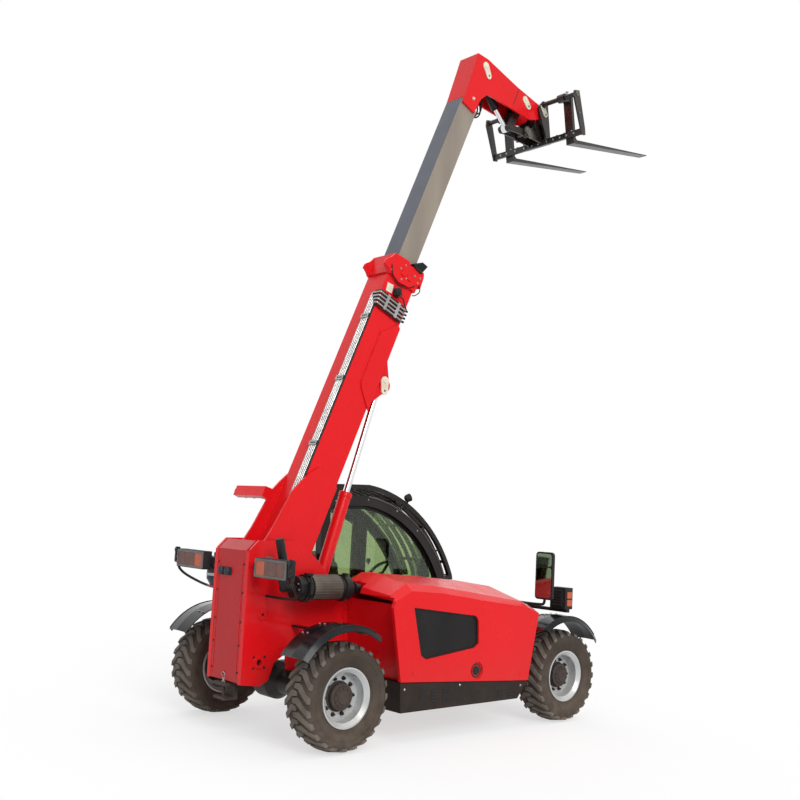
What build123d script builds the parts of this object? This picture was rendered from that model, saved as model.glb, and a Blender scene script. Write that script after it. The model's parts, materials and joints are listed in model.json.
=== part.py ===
"""Compact telehandler: four-wheel steer chassis, side cab, telescopic boom and fork carriage.

Millimetres. X is forward, Y is to the driver's left, Z is up, the floor is Z = 0.
The origin is the centre of the footprint of the whole machine with its boom raised.
Side outlines are lists of (x, z) from the rear axle, and boom outlines lists of
(along, above), from the boom's foot pin, along the boom and square to it.
"""
import math
import os

from build123d import *

# ---- driving dimensions -------------------------------------------------------------
REAR_X = -1939.0            # rear axle
WHEELBASE = 2620.0
WHEEL_Z = 415.5             # axle height, the tyre's own radius
TYRE_R = 415.5
TYRE_INNER_Y = 705.0
TYRE_OUTER_Y = 1010.0
KINGPIN_Y = 700.0
FRAME_Y = 250.0             # outer face of the chassis side plates
PLATE = 25.0
CAB_Y = (262.0, 970.0)
CAB_WALL = 45.0
HOOD_Y = (-962.0, -262.0)
FENDER_R = 555.0
AXLE_PAD_Z = 520.0

BOOM_ANGLE = 67.6
BOOM_FOOT = (-300.0, 1400.0)
OUTER_HALF = 140.0
OUTER_BOX = (-436.0, -101.0)      # below and above, square to the boom
OUTER_WALL = 12.0
OUTER_END = 3110.0
INNER_HALF = 110.0
INNER_BOX = (-384.0, -153.0)
INNER_WALL = 10.0
INNER_START = 2450.0
HEAD_HALF = 130.0

LIFT_FOOT = (279.0, 760.0)
LIFT_EYE = (1964.0, -564.0)       # on the boom: along, above
LIFT_BARREL_R = 57.0
LIFT_ROD_R = 30.0
LIFT_BARREL_END = 1297.0

TILT_FOOT = (5545.0, -250.0)      # these five are on the boom: along, above
TILT_EYE = (5290.0, -890.0)
LEVER_PIN = (5625.0, -935.0)
CARRIAGE_PIN = (5705.0, -1149.0)
LINK_PIN = (5389.0, -1117.0)
FORK_TILT = 9.4
FORK_Y = 430.0
FORK_WIDTH = 100.0
FORK_TIP = 1420.0
CARRIAGE_HALF = 635.0

os.makedirs("parts", exist_ok=True)


# ---- planes -------------------------------------------------------------------------
def side_plane(x, z, angle=0.0):
    """Plane of side outlines: its x runs forward, turned up by angle; it faces the right."""
    turn = math.radians(angle)
    return Plane(origin=(REAR_X + x, 0, z), x_dir=(math.cos(turn), 0, math.sin(turn)),
                 z_dir=(0, -1, 0))


def on_boom(point):
    """Side position of a boom point."""
    turn = math.radians(BOOM_ANGLE)
    along, above = point
    return (BOOM_FOOT[0] + along * math.cos(turn) - above * math.sin(turn),
            BOOM_FOOT[1] + along * math.sin(turn) + above * math.cos(turn))


SIDE = side_plane(0, 0)
BOOM = side_plane(*BOOM_FOOT, BOOM_ANGLE)
lift_eye = on_boom(LIFT_EYE)
LIFT_ANGLE = math.degrees(math.atan2(lift_eye[1] - LIFT_FOOT[1], lift_eye[0] - LIFT_FOOT[0]))
LIFT_LENGTH = math.dist(lift_eye, LIFT_FOOT)
LIFT = side_plane(*LIFT_FOOT, LIFT_ANGLE)
tilt_foot = on_boom(TILT_FOOT)
tilt_eye = on_boom(TILT_EYE)
TILT_ANGLE = math.degrees(math.atan2(tilt_eye[1] - tilt_foot[1], tilt_eye[0] - tilt_foot[0]))
TILT_LENGTH = math.dist(tilt_eye, tilt_foot)
TILT = side_plane(*tilt_foot, TILT_ANGLE)
CARRIAGE = side_plane(*on_boom(CARRIAGE_PIN), FORK_TILT)


def on_carriage(point):
    """Carriage coordinates of a boom point."""
    turn = math.radians(FORK_TILT - BOOM_ANGLE)
    along = point[0] - CARRIAGE_PIN[0]
    above = point[1] - CARRIAGE_PIN[1]
    return (along * math.cos(turn) + above * math.sin(turn),
            -along * math.sin(turn) + above * math.cos(turn))


# ---- shared operations --------------------------------------------------------------
def slab(plane, low, high, points, mode=Mode.ADD, corner=0.0):
    """Side outline drawn on a plane and extruded from Y = low to Y = high."""
    with BuildSketch(plane.offset(-high)) as outline:
        with BuildLine():
            Polyline(*points, close=True)
        make_face()
        if corner:
            fillet(outline.vertices(), corner)
    extrude(outline.sketch, amount=high - low, mode=mode)


def both_slabs(plane, low, high, points, mode=Mode.ADD, corner=0.0):
    """The same slab on the left and on the right."""
    slab(plane, low, high, points, mode, corner)
    slab(plane, -high, -low, points, mode, corner)


def disc(plane, low, high, centre, radius, mode=Mode.ADD):
    """Round boss, pin or bore across the machine, from Y = low to Y = high."""
    with BuildSketch(plane.offset(-high)) as outline:
        with Locations(centre):
            Circle(radius)
    extrude(outline.sketch, amount=high - low, mode=mode)


def both_discs(plane, low, high, centre, radius, mode=Mode.ADD):
    disc(plane, low, high, centre, radius, mode)
    disc(plane, -high, -low, centre, radius, mode)


def block(low, high, mode=Mode.ADD):
    """Box between two corners, x from the rear axle."""
    size = [b - a for a, b in zip(low, high)]
    middle = [(a + b) / 2 for a, b in zip(low, high)]
    with Locations((REAR_X + middle[0], middle[1], middle[2])):
        Box(*size, mode=mode)


def save(builder, label):
    builder.part.label = label
    export_step(builder.part, f"parts/{label}.step")


AXLES = {"front": (WHEELBASE, -1), "rear": (0.0, 1)}         # x, side of the steering rod
FENDER_ROOT_Y = {"front": 430.0, "rear": FRAME_Y}
WHEELS = {"fl": ("front", 1), "fr": ("front", -1), "rl": ("rear", 1), "rr": ("rear", -1)}

# ---- chassis ------------------------------------------------------------------------
SIDE_PLATE = [(-478, 430), (-307, 412), (-230, 452), (-177, 593), (-99, 641), (60, 690),
              (200, 640), (330, 520), (430, 385), (2180, 385), (2300, 520), (2430, 640),
              (2810, 640), (2930, 560), (2990, 560), (2990, 760), (620, 760), (560, 1000),
              (311, 1309), (178, 1432), (68, 1513), (-22, 1569), (-400, 1565), (-478, 1490)]
BAY_WALL = [(520, 740), (500, 1230), (700, 1283), (1131, 1253), (1671, 1213), (2127, 1160),
            (2127, 740)]
RINGS = [(-326, 977, 10.0), (-328, 599, 26.0)]               # x, z, hole radius

INSIDE_Y = FRAME_Y - PLATE

with BuildPart() as side_plates:
    both_slabs(SIDE, INSIDE_Y, FRAME_Y, SIDE_PLATE)
    both_slabs(SIDE, 205, FRAME_Y, [(-490, 432), (-470, 432), (-470, 1478), (-490, 1478)])
    for axle_x, _ in AXLES.values():
        foot_x = axle_x - 50
        both_slabs(SIDE, INSIDE_Y, FRAME_Y,
                   [(foot_x, AXLE_PAD_Z), (foot_x + 100, AXLE_PAD_Z), (foot_x + 120, 700),
                    (foot_x - 20, 700)])
    for ring_x, ring_z, hole_r in RINGS:
        both_discs(SIDE, FRAME_Y, FRAME_Y + 8, (ring_x, ring_z), 47)
        both_discs(SIDE, INSIDE_Y, FRAME_Y + 8, (ring_x, ring_z), hole_r, Mode.SUBTRACT)
save(side_plates, "side_plates")

with BuildPart() as chassis:
    block((430, -INSIDE_Y, 385), (2180, INSIDE_Y, 400))
    block((215, -INSIDE_Y, 640), (345, INSIDE_Y, 690))
    block((2900, -INSIDE_Y, 600), (2990, INSIDE_Y, 740))
    block((1380, -INSIDE_Y, 400), (1460, INSIDE_Y, 560))
    both_slabs(SIDE, 62, 87, [(225, 690), (335, 690), (330, 775), (228, 775)])
    both_discs(SIDE, 62, 87, LIFT_FOOT, 55)
    disc(SIDE, -87, 87, LIFT_FOOT, 24.95)
    disc(SIDE, -INSIDE_Y, INSIDE_Y, BOOM_FOOT, 29.95)
save(chassis, "chassis")

with BuildPart() as engine_deck:
    block((600, -640, 465), (2060, -FRAME_Y, 490))
    slab(SIDE, -FRAME_Y - 8, -FRAME_Y, BAY_WALL)
    slab(SIDE, -900, -FRAME_Y, [(606, 490), (626, 490), (539, 1105), (519, 1105)])
    block((760, FRAME_Y, 400), (880, 900, 470))
    block((1760, FRAME_Y, 400), (1880, 900, 470))
save(engine_deck, "engine_deck")

PANEL = [(-488, 440), (-488, 1480), (-405, 1560), (-395, 1552), (-476, 1474), (-476, 440)]
with BuildPart() as tower_panel:
    slab(SIDE, -205, 205, PANEL)
save(tower_panel, "tower_panel")

with BuildPart() as counterweight:
    block((-470, -224, 436), (-235, 224, 720))
save(counterweight, "counterweight")

with BuildPart() as tow_hitch:
    block((-520, -85, 400), (-400, 85, 425))
    block((-520, -85, 290), (-400, 85, 312))
    block((-430, -85, 290), (-400, 85, 425))
    with Locations((REAR_X - 480, 0, 355)):
        Cylinder(13, 160)
save(tow_hitch, "tow_hitch")

# ---- axles, knuckles and wheels -----------------------------------------------------
HOUSING = [(0, 0), (150, 0), (150, 90), (95, 170), (70, 560), (70, 620), (0, 620)]
STEER_OFFSET = 170.0
STEER_ROD_R = 18.0
STEER_Z = 425.0


def axle_plane(axle_x):
    """Half sections of turned parts: its x is the radius, its y runs out along the axle."""
    return Plane(origin=(REAR_X + axle_x, 0, WHEEL_Z), x_dir=(0, 0, 1), z_dir=(1, 0, 0))


def turned(axle_x, points, sign=1):
    """Part turned about an axle's line from (radius, y) points."""
    with BuildSketch(axle_plane(axle_x)) as section:
        with BuildLine():
            Polyline(*[(r, -sign * y) for r, y in points], close=True)
        make_face()
    revolve(section.sketch, axis=Axis((REAR_X + axle_x, 0, WHEEL_Z), (0, 1, 0)))


with BuildPart() as axles:
    for axle_x, rod_side in AXLES.values():
        rod_x = axle_x + rod_side * STEER_OFFSET
        for sign in (1, -1):
            turned(axle_x, HOUSING, sign)
            near, far = sorted((sign * 595, sign * 635))
            block((axle_x - 45, near, WHEEL_Z - 130), (axle_x + 45, far, WHEEL_Z + 130))
            near, far = sorted((sign * 620, sign * KINGPIN_Y))
            for low in (-130, 100):
                block((axle_x - 42, near, WHEEL_Z + low), (axle_x + 42, far, WHEEL_Z + low + 30))
                with Locations((REAR_X + axle_x, sign * KINGPIN_Y, WHEEL_Z + low + 15)):
                    Cylinder(42, 30)
                    Cylinder(20.05, 30, mode=Mode.SUBTRACT)
            near, far = sorted((sign * 205, sign * 270))
            block((axle_x - 70, near, WHEEL_Z), (axle_x + 70, far, AXLE_PAD_Z))
            near, far = sorted((sign * 120, sign * 150))
            inner_x, outer_x = sorted((axle_x, rod_x))
            block((inner_x, near, STEER_Z - 20), (outer_x, far, STEER_Z + 20))
        disc(SIDE, -200, 200, (rod_x, STEER_Z), 36)
        disc(SIDE, -200, 200, (rod_x, STEER_Z), STEER_ROD_R + 0.05, Mode.SUBTRACT)
save(axles, "axles")

for name, (axle_x, rod_side) in AXLES.items():
    rod_x = axle_x + rod_side * STEER_OFFSET
    with BuildPart() as steer_rod:
        disc(SIDE, -600, 600, (rod_x, STEER_Z), STEER_ROD_R)
        for sign in (1, -1):
            near, far = sorted((sign * 590, sign * 690))
            block((rod_x - 24, near, STEER_Z), (rod_x + 24, far, STEER_Z + 14))
    save(steer_rod, f"steer_rod_{name}")

SPINDLE = [(0, 690), (88, 700), (96, 790), (150, 830), (150, 846), (40, 846), (40, 896), (0, 896)]
RIM = [(231, 735), (231, 752), (200, 768), (200, 947), (231, 963), (231, 980), (220, 980),
       (190, 952), (190, 868), (82, 868), (76, 925), (0, 925), (0, 900), (40.05, 900),
       (40.05, 851), (190, 851), (190, 764), (220, 735)]
TYRE = [(231.3, 742), (231.3, 752.3), (200.3, 768.3), (200.3, 946.7), (231.3, 962.7),
        (231.3, 973), (330, TYRE_OUTER_Y), (388, 997), (TYRE_R, 955), (TYRE_R, 760),
        (388, 718), (330, TYRE_INNER_Y)]

for corner, (axle_name, sign) in WHEELS.items():
    axle_x, rod_side = AXLES[axle_name]
    rod_x = axle_x + rod_side * STEER_OFFSET
    with BuildPart() as knuckle:
        turned(axle_x, SPINDLE, sign)
        with Locations((REAR_X + axle_x, sign * KINGPIN_Y, WHEEL_Z)):
            Cylinder(60, 190)
            Cylinder(20, 260)
        near, far = sorted((sign * (KINGPIN_Y - 28), sign * (KINGPIN_Y + 28)))
        inner_x, outer_x = sorted((axle_x, rod_x + rod_side * 24))
        block((inner_x, near, STEER_Z - 30), (outer_x, far, STEER_Z - 5))
    save(knuckle, f"knuckle_{corner}")
    with BuildPart() as rim:
        turned(axle_x, RIM, sign)
    save(rim, f"rim_{corner}")
    with BuildPart() as tyre:
        turned(axle_x, TYRE, sign)
    save(tyre, f"tyre_{corner}")

# ---- fenders ------------------------------------------------------------------------
FENDER = [(545, 700), (FENDER_R, 850), (548, 985), (505, 1010), (500, 1004), (540, 978),
          (547, 850), (537, 700)]
FENDER_SPANS = {"front": 35.0, "rear": 55.0}                 # angle of the front end
with BuildPart() as fenders:
    for axle_name, (axle_x, _) in AXLES.items():
        start = FENDER_SPANS[axle_name]
        for sign in (1, -1):
            line = Axis((REAR_X + axle_x, 0, WHEEL_Z), (0, 1, 0))
            with BuildSketch(axle_plane(axle_x)) as section:
                with BuildLine():
                    Polyline(*[(r, -sign * y) for r, y in FENDER], close=True)
                make_face()
            band = revolve(section.sketch, axis=line, revolution_arc=90, mode=Mode.PRIVATE)
            add(band.rotate(line, -start))
            near, far = sorted((sign * FENDER_ROOT_Y[axle_name], sign * 715))
            block((axle_x - 30, near, 872), (axle_x + 30, far, 888))
            near, far = sorted((sign * 703, sign * 715))
            block((axle_x - 30, near, 872), (axle_x + 30, far, 955))
save(fenders, "fenders")

# ---- engine bay, sills and exhaust --------------------------------------------------
with BuildPart() as engine_block:
    block((900, -850, 490), (1650, -340, 1040))
save(engine_block, "engine_block")

with BuildPart() as sill_right:
    slab(SIDE, -962, -640, [(560, 486), (575, 249), (1977, 259), (2100, 404)])
save(sill_right, "sill_right")

STEP_Y = 770.0
with BuildPart() as step_tank:
    slab(SIDE, 560, 965, [(650, 398), (650, 249), (1977, 259), (2085, 398)])
    slab(SIDE, STEP_Y, 966, [(1000, 285), (1480, 285), (1480, 375), (1000, 375)], Mode.SUBTRACT)
save(step_tank, "step_tank")

MUFFLER_Y = -450.0
MUFFLER_Z = 1201.0
TAIL = [(-190, 1201), (-285, 1215), (-300, 1430), (-345, 1590)]
with BuildPart() as exhaust:
    with Locations((REAR_X + 100, MUFFLER_Y, MUFFLER_Z)):
        Cylinder(98, 540, rotation=(0, 90, 0))
        Cylinder(30, 800, rotation=(0, 90, 0))
    with BuildLine() as route:
        FilletPolyline(*[(REAR_X + x, MUFFLER_Y, z) for x, z in TAIL], radius=60)
    with BuildSketch(Plane(origin=route.line @ 0, z_dir=route.line % 0)):
        Circle(36)
    sweep(path=route.line)
    block((50, MUFFLER_Y + 90, 1150), (90, -FRAME_Y, 1250))
save(exhaust, "exhaust")

with BuildPart() as lamps:
    for sign in (1, -1):
        near, far = sorted((sign * 384, sign * 815))
        block((-520, near, 1286), (-440, far, 1438))
        near, far = sorted((sign * FRAME_Y, sign * 440))
        block((-440, near, 1330), (-410, far, 1390))
        near, far = sorted((sign * 742, sign * 925))
        block((2650, near, 1020), (2760, far, 1220))
        near, far = sorted((sign * 430, sign * 925))
        block((2680, near, 990), (2720, far, 1020))
        near, far = sorted((sign * 430, sign * 452))
        block((2680, near, 780), (2720, far, 1020))
save(lamps, "lamps")

# ---- cab ----------------------------------------------------------------------------
SWEEP = [(1150, 1990), (1864, 1680), (2210, 1215)]           # roof and windscreen arc


def cab_face(inset=0.0, mode=Mode.ADD):
    """Side outline of the cab, moved in by an inset, in the sketch that is open."""
    with BuildLine() as edge:
        Polyline((1150, 1990), (700, 1975), (610, 1890), (640, 470), (2095, 470), (2100, 850),
                 (2232, 1000), (2210, 1215))
        ThreePointArc(*reversed(SWEEP))
    face = make_face(edge.edges(), mode=Mode.PRIVATE)
    if inset:
        face = offset(face, amount=-inset, mode=Mode.PRIVATE)
    add(face, mode=mode)


def cab_slab(low, high, inset, mode=Mode.ADD, within=None):
    """Cab outline from Y = low to Y = high, kept inside a polygon."""
    with BuildSketch(SIDE.offset(-high)) as outline:
        cab_face(inset)
        if within:
            with BuildLine():
                Polyline(*within, close=True)
            make_face(mode=Mode.INTERSECT)
    extrude(outline.sketch, amount=high - low, mode=mode)


def cab_shell(low, high, outer, inner, within):
    """Curved sheet between two insets of the cab outline."""
    with BuildSketch(SIDE.offset(-high)) as outline:
        cab_face(outer)
        cab_face(inner, Mode.SUBTRACT)
        with BuildLine():
            Polyline(*within, close=True)
        make_face(mode=Mode.INTERSECT)
    extrude(outline.sketch, amount=high - low)


ABOVE_SILL = [(500, 900), (2400, 900), (2400, 2200), (500, 2200)]
SCREEN_ZONE = [(800, 1850), (800, 2200), (2500, 2200), (2500, 1040), (1950, 1040)]
PANE_ZONE = [(780, 1830), (780, 2200), (2500, 2200), (2500, 1020), (1940, 1020)]
DOOR_ZONE = [(700, 515), (1640, 515), (1640, 2200), (700, 2200)]
SIDE_LIGHT_ZONE = [(1710, 900), (2400, 900), (2400, 2200), (1710, 2200)]
REAR_LIGHT = (1000.0, 1840.0)
with BuildPart() as cab_frame:
    cab_slab(CAB_Y[0], CAB_Y[1], 0)
    cab_slab(CAB_Y[0] + CAB_WALL, CAB_Y[1] - CAB_WALL, CAB_WALL, Mode.SUBTRACT)
    cab_slab(CAB_Y[0] - 1, CAB_Y[0] + CAB_WALL, 95, Mode.SUBTRACT, ABOVE_SILL)
    cab_slab(CAB_Y[1] - CAB_WALL, CAB_Y[1] + 1, 70, Mode.SUBTRACT, DOOR_ZONE)
    cab_slab(CAB_Y[1] - CAB_WALL, CAB_Y[1] + 1, 95, Mode.SUBTRACT, SIDE_LIGHT_ZONE)
    slab(SIDE, 340, 892, SCREEN_ZONE, Mode.SUBTRACT)
    block((560, 340, REAR_LIGHT[0]), (690, 892, REAR_LIGHT[1]), Mode.SUBTRACT)
save(cab_frame, "cab_frame")

with BuildPart() as cab_glass:
    cab_shell(322, 910, CAB_WALL, CAB_WALL + 6, PANE_ZONE)
    cab_slab(CAB_Y[0] + CAB_WALL, CAB_Y[0] + CAB_WALL + 6, 80, within=[
        (500, 885), (2400, 885), (2400, 2200), (500, 2200)])
    cab_slab(CAB_Y[1] - CAB_WALL - 6, CAB_Y[1] - CAB_WALL, 80, within=[
        (1695, 885), (2400, 885), (2400, 2200), (1695, 2200)])
save(cab_glass, "cab_glass")

DOOR_HINGE = (698.0, 979.0)
DOOR_HINGE_R = 8.0
DOOR_HINGE_Z = (720.0, 1560.0)
with BuildPart() as cab_door:
    cab_slab(CAB_Y[1] - CAB_WALL + 3, CAB_Y[1] - 2, 76, within=[
        (706, 521), (1634, 521), (1634, 2200), (706, 2200)])
    cab_slab(CAB_Y[1] - CAB_WALL, CAB_Y[1], 140, Mode.SUBTRACT, [
        (790, 1000), (1560, 1000), (1560, 2200), (790, 2200)])
    cab_slab(CAB_Y[1] - CAB_WALL, CAB_Y[1], 140, Mode.SUBTRACT, [
        (790, 640), (1560, 640), (1560, 930), (790, 930)])
    for hinge_z in DOOR_HINGE_Z:
        with Locations((REAR_X + DOOR_HINGE[0], DOOR_HINGE[1], hinge_z)):
            Cylinder(DOOR_HINGE_R, 70)
        block((DOOR_HINGE[0], 972, hinge_z - 25), (DOOR_HINGE[0] + 50, 978, hinge_z + 25))
        block((712, CAB_Y[1] - 2, hinge_z - 25), (DOOR_HINGE[0] + 50, 978, hinge_z + 25))
save(cab_door, "cab_door")

with BuildPart() as door_glass:
    cab_slab(CAB_Y[1] - CAB_WALL - 3, CAB_Y[1] - CAB_WALL + 3, 125, within=[
        (775, 985), (1575, 985), (1575, 2200), (775, 2200)])
    cab_slab(CAB_Y[1] - CAB_WALL - 3, CAB_Y[1] - CAB_WALL + 3, 125, within=[
        (775, 625), (1575, 625), (1575, 945), (775, 945)])
save(door_glass, "door_glass")

GUARD_ZONE = [(760, 1850), (760, 2300), (2600, 2300), (2600, 1205), (1950, 1205)]
GUARD_BARS = 7
GUARD_INNER = 62.0
GUARD_OUTER = 105.0
GUARD_RUNGS = (0.0, 0.3, 0.6, 0.9)                           # along the sweep
GUARD_FEET = [[(760, 1850), (760, 2300), (810, 2300), (810, 1850)],
              [(2150, 1205), (2600, 1205), (2600, 1245), (2150, 1245)]]
with BuildPart() as roof_guard:
    pitch = (CAB_Y[1] - CAB_Y[0] - 40) / (GUARD_BARS - 1)
    for index in range(GUARD_BARS):
        bar_y = CAB_Y[0] + index * pitch
        width = 40 if index in (0, GUARD_BARS - 1) else 14
        cab_shell(bar_y, bar_y + width, -GUARD_OUTER, -GUARD_INNER, GUARD_ZONE)
    for index in (0, GUARD_BARS - 1):
        bar_y = CAB_Y[0] + index * pitch
        for foot in GUARD_FEET:
            cab_shell(bar_y, bar_y + 40, -GUARD_OUTER, 0, foot)
    sweep_arc = ThreePointArc(*SWEEP, mode=Mode.PRIVATE)
    for rung in GUARD_RUNGS:
        tangent = sweep_arc % rung
        rise = (GUARD_INNER + GUARD_OUTER) / 2
        rung_x = (sweep_arc @ rung).X - tangent.Y * rise
        rung_z = (sweep_arc @ rung).Y + tangent.X * rise
        disc(SIDE, CAB_Y[0], CAB_Y[1], (rung_x, rung_z), 16)
save(roof_guard, "roof_guard")

with BuildPart() as seat:
    block((930, 380, 515), (1330, 850, 800))
    block((900, 370, 800), (1400, 860, 910))
    slab(SIDE, 370, 860, [(900, 880), (1020, 910), (890, 1480), (780, 1450)])
save(seat, "seat")

WHEEL_TILT = 60.0
with BuildPart() as steering_console:
    slab(SIDE, 330, 900, [(1900, 515), (2040, 515), (2045, 880), (2080, 960), (1960, 1020),
                          (1900, 980)])
    with BuildSketch(side_plane(1800, 1096, -35).offset(-616)) as column:
        Rectangle(400, 60)
    extrude(column.sketch, amount=30, both=True)
    with Locations(Plane(origin=(REAR_X + 1650, 616, 1205), z_dir=(-0.8, 0, 0.6))):
        Torus(185, 15)
        Box(360, 30, 14)
        Cylinder(45, 40)
save(steering_console, "steering_console")

with BuildPart() as mirrors:
    for sign in (1, -1):
        near, far = sorted((sign * 765, sign * 970))
        block((2395, near, 1112), (2445, far, 1552))
        near, far = sorted((sign * 430, sign * 900))
        block((2405, near, 1045), (2430, far, 1075))
        near, far = sorted((sign * 850, sign * 880))
        block((2405, near, 1045), (2430, far, 1115))
        near, far = sorted((sign * 430, sign * 452))
        block((2405, near, 780), (2430, far, 1075))
save(mirrors, "mirrors")

NOSE = [(2262, 765), (2262, 930), (2880, 870), (3050, 740), (3050, 540), (3030, 540),
        (3030, 730), (2870, 850), (2282, 908), (2282, 765)]
with BuildPart() as nose_cowl:
    slab(SIDE, -430, 430, NOSE)
    both_slabs(SIDE, 410, 430, [(2282, 765), (2282, 908), (2870, 850), (3030, 730),
                                (3030, 765)])
save(nose_cowl, "nose_cowl")

# ---- hood ---------------------------------------------------------------------------
# side outlines of the hood from its outer face inwards: y, then (x, z) points
HOOD_SECTIONS = [
    (-962, [(565, 492), (449, 1078), (470, 1130), (640, 1215), (1000, 1192), (1537, 1121),
            (2065, 1057), (2235, 1000), (2112, 408)]),
    (-880, [(562, 492), (445, 1100), (470, 1175), (640, 1268), (1000, 1246), (1537, 1175),
            (2085, 1100), (2255, 1030), (2110, 408)]),
    (-420, [(560, 492), (445, 1150), (475, 1225), (680, 1322), (1131, 1297), (1671, 1257),
            (2127, 1201), (2290, 1120), (2110, 408)]),
    (-262, [(560, 492), (445, 1150), (475, 1222), (680, 1318), (1131, 1293), (1671, 1253),
            (2127, 1197), (2290, 1116), (2110, 408)]),
]
HOOD_SKIN = 20.0
WINDOW = [(673, 1082), (1403, 998), (1439, 959), (1451, 762), (1398, 727), (832, 659),
          (775, 691)]
CAP_CENTRE = (1443.0, 533.0)
HOOD_HINGE_LINE = [(680.0, 1318.0), (2127.0, 1197.0)]        # along the hood's inner top edge
HOOD_HINGE_SLOPE = ((HOOD_HINGE_LINE[1][1] - HOOD_HINGE_LINE[0][1])
                    / (HOOD_HINGE_LINE[1][0] - HOOD_HINGE_LINE[0][0]))
HOOD_HINGE_X = (800.0, 1400.0, 2000.0)
HOOD_HINGE_R = 8.0


def hood_form(skin, outer_y, inner_y, rear, floor):
    """Hood as a loft through its side outlines, moved in by a skin."""
    sections = []
    for y, points in HOOD_SECTIONS:
        at_y = {HOOD_SECTIONS[0][0]: outer_y, HOOD_SECTIONS[-1][0]: inner_y}.get(y, y)
        with BuildSketch(SIDE.offset(-at_y)) as section:
            with BuildLine():
                Polyline(*[(x + (rear if i < 2 else skin if i < 4 else 0 if i < 7 else -skin),
                            z - (floor if i in (0, 8) else skin if i > 1 else 0))
                           for i, (x, z) in enumerate(points)], close=True)
            make_face()
        sections.append(section.sketch)
    loft(sections, ruled=True)


with BuildPart() as hood_hollow:
    hood_form(HOOD_SKIN, HOOD_Y[0] + HOOD_SKIN, HOOD_Y[1] + 2, HOOD_SKIN + 10, 80)

with BuildPart() as hood:
    hood_form(0, HOOD_Y[0], HOOD_Y[1], 0, 0)
    add(hood_hollow.part, mode=Mode.SUBTRACT)
    slab(SIDE, -930, HOOD_Y[1] + 2, [(400, 400), (590, 400), (590, 470), (480, 1160),
                                      (400, 1160)], Mode.SUBTRACT)
    slab(SIDE, -520, -340, [(400, 1100), (530, 1100), (530, 1250), (400, 1250)], Mode.SUBTRACT)
    slab(SIDE, HOOD_Y[0] - 5, HOOD_Y[0] + HOOD_SKIN + 5, WINDOW, Mode.SUBTRACT)
    disc(SIDE, HOOD_Y[0] - 5, HOOD_Y[0] + 12, CAP_CENTRE, 73, Mode.SUBTRACT)
    for hinge_x in HOOD_HINGE_X:
        rise = (hinge_x - HOOD_HINGE_LINE[0][0]) * HOOD_HINGE_SLOPE
        middle = (REAR_X + hinge_x, HOOD_Y[1], HOOD_HINGE_LINE[0][1] + rise)
        with Locations(Plane(origin=middle, z_dir=(1, 0, HOOD_HINGE_SLOPE))):
            Cylinder(HOOD_HINGE_R, 90)
save(hood, "hood")

with BuildPart() as hood_mesh:
    with BuildSketch(SIDE.offset(-(HOOD_Y[0] + HOOD_SKIN + 6))) as pane:
        with BuildLine():
            Polyline(*WINDOW, close=True)
        make_face()
        offset(amount=14, kind=Kind.INTERSECTION, mode=Mode.REPLACE)
    extrude(pane.sketch, amount=6)
save(hood_mesh, "hood_mesh")

# ---- boom ---------------------------------------------------------------------------
BASE_PLATE = [(172, 46), (278, 24), (638, -20), (744, -62), (831, -104), (943, -188),
              (954, -254), (861, -436), (150, -436), (-78, -60), (-88, 40), (0, 92)]
GUSSET = [(2528, -410), (2449, -353), (2358, -266), (1827, -267), (1775, -300), (1635, -452),
          (2500, -452)]
LIFT_EAR = [(1640, -430), (1905, -590), (1964, -634), (2035, -590), (2290, -430)]
COLLAR_TOP = [(2890, -101), (2935, -30), (2987, -23), (3060, -95), (3060, -101)]
COLLAR_FOOT = [(2930, -436), (2973, -497), (3118, -487), (3110, -436)]


def boom_tube(half, box, wall, start, end):
    """Hollow rectangular boom section."""
    for grow, mode in ((0.0, Mode.ADD), (wall, Mode.SUBTRACT)):
        slab(BOOM, -half + grow, half - grow,
             [(start - grow, box[0] + grow), (end + grow, box[0] + grow),
              (end + grow, box[1] - grow), (start - grow, box[1] - grow)], mode)


with BuildPart() as boom_outer:
    slab(BOOM, -158, 158, [(2900, -454), (3105, -454), (3105, -83), (2900, -83)])
    boom_tube(OUTER_HALF, OUTER_BOX, OUTER_WALL, 120, OUTER_END)
    slab(BOOM, -128, 128, [(2890, -424), (3115, -424), (3115, -113), (2890, -113)],
         Mode.SUBTRACT)
    both_slabs(BOOM, OUTER_HALF, 160, BASE_PLATE)
    both_discs(BOOM, OUTER_HALF, 222, (0, 0), 62)
    disc(BOOM, -222, 222, (0, 0), 62)
    slab(BOOM, -OUTER_HALF, OUTER_HALF, [(-30, -55), (190, -101), (190, -113), (120, -436),
                                         (105, -436)])
    disc(BOOM, -223, 223, (0, 0), 30, Mode.SUBTRACT)
    both_slabs(BOOM, OUTER_HALF, 152, GUSSET)
    both_slabs(BOOM, 60, 88, LIFT_EAR)
    both_discs(BOOM, 60, 96, LIFT_EYE, 62)
    both_slabs(BOOM, 128, 152, COLLAR_TOP)
    both_slabs(BOOM, 128, 152, COLLAR_FOOT)
    both_slabs(BOOM, INNER_HALF + 1, OUTER_HALF - OUTER_WALL,
               [(3000, -360), (3105, -360), (3105, -180), (3000, -180)])
    for low, high in ((INNER_BOX[1] + 1, OUTER_BOX[1] - OUTER_WALL),
                      (OUTER_BOX[0] + OUTER_WALL, INNER_BOX[0] - 1)):
        slab(BOOM, -80, 80, [(3000, low), (3105, low), (3105, high), (3000, high)])
    slab(BOOM, OUTER_HALF, 178, [(535, -70), (655, -70), (640, 55), (550, 55)])
    slab(BOOM, 150, 590, [(550, -5), (640, -5), (640, 55), (550, 55)])
save(boom_outer, "boom_outer")

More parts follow.
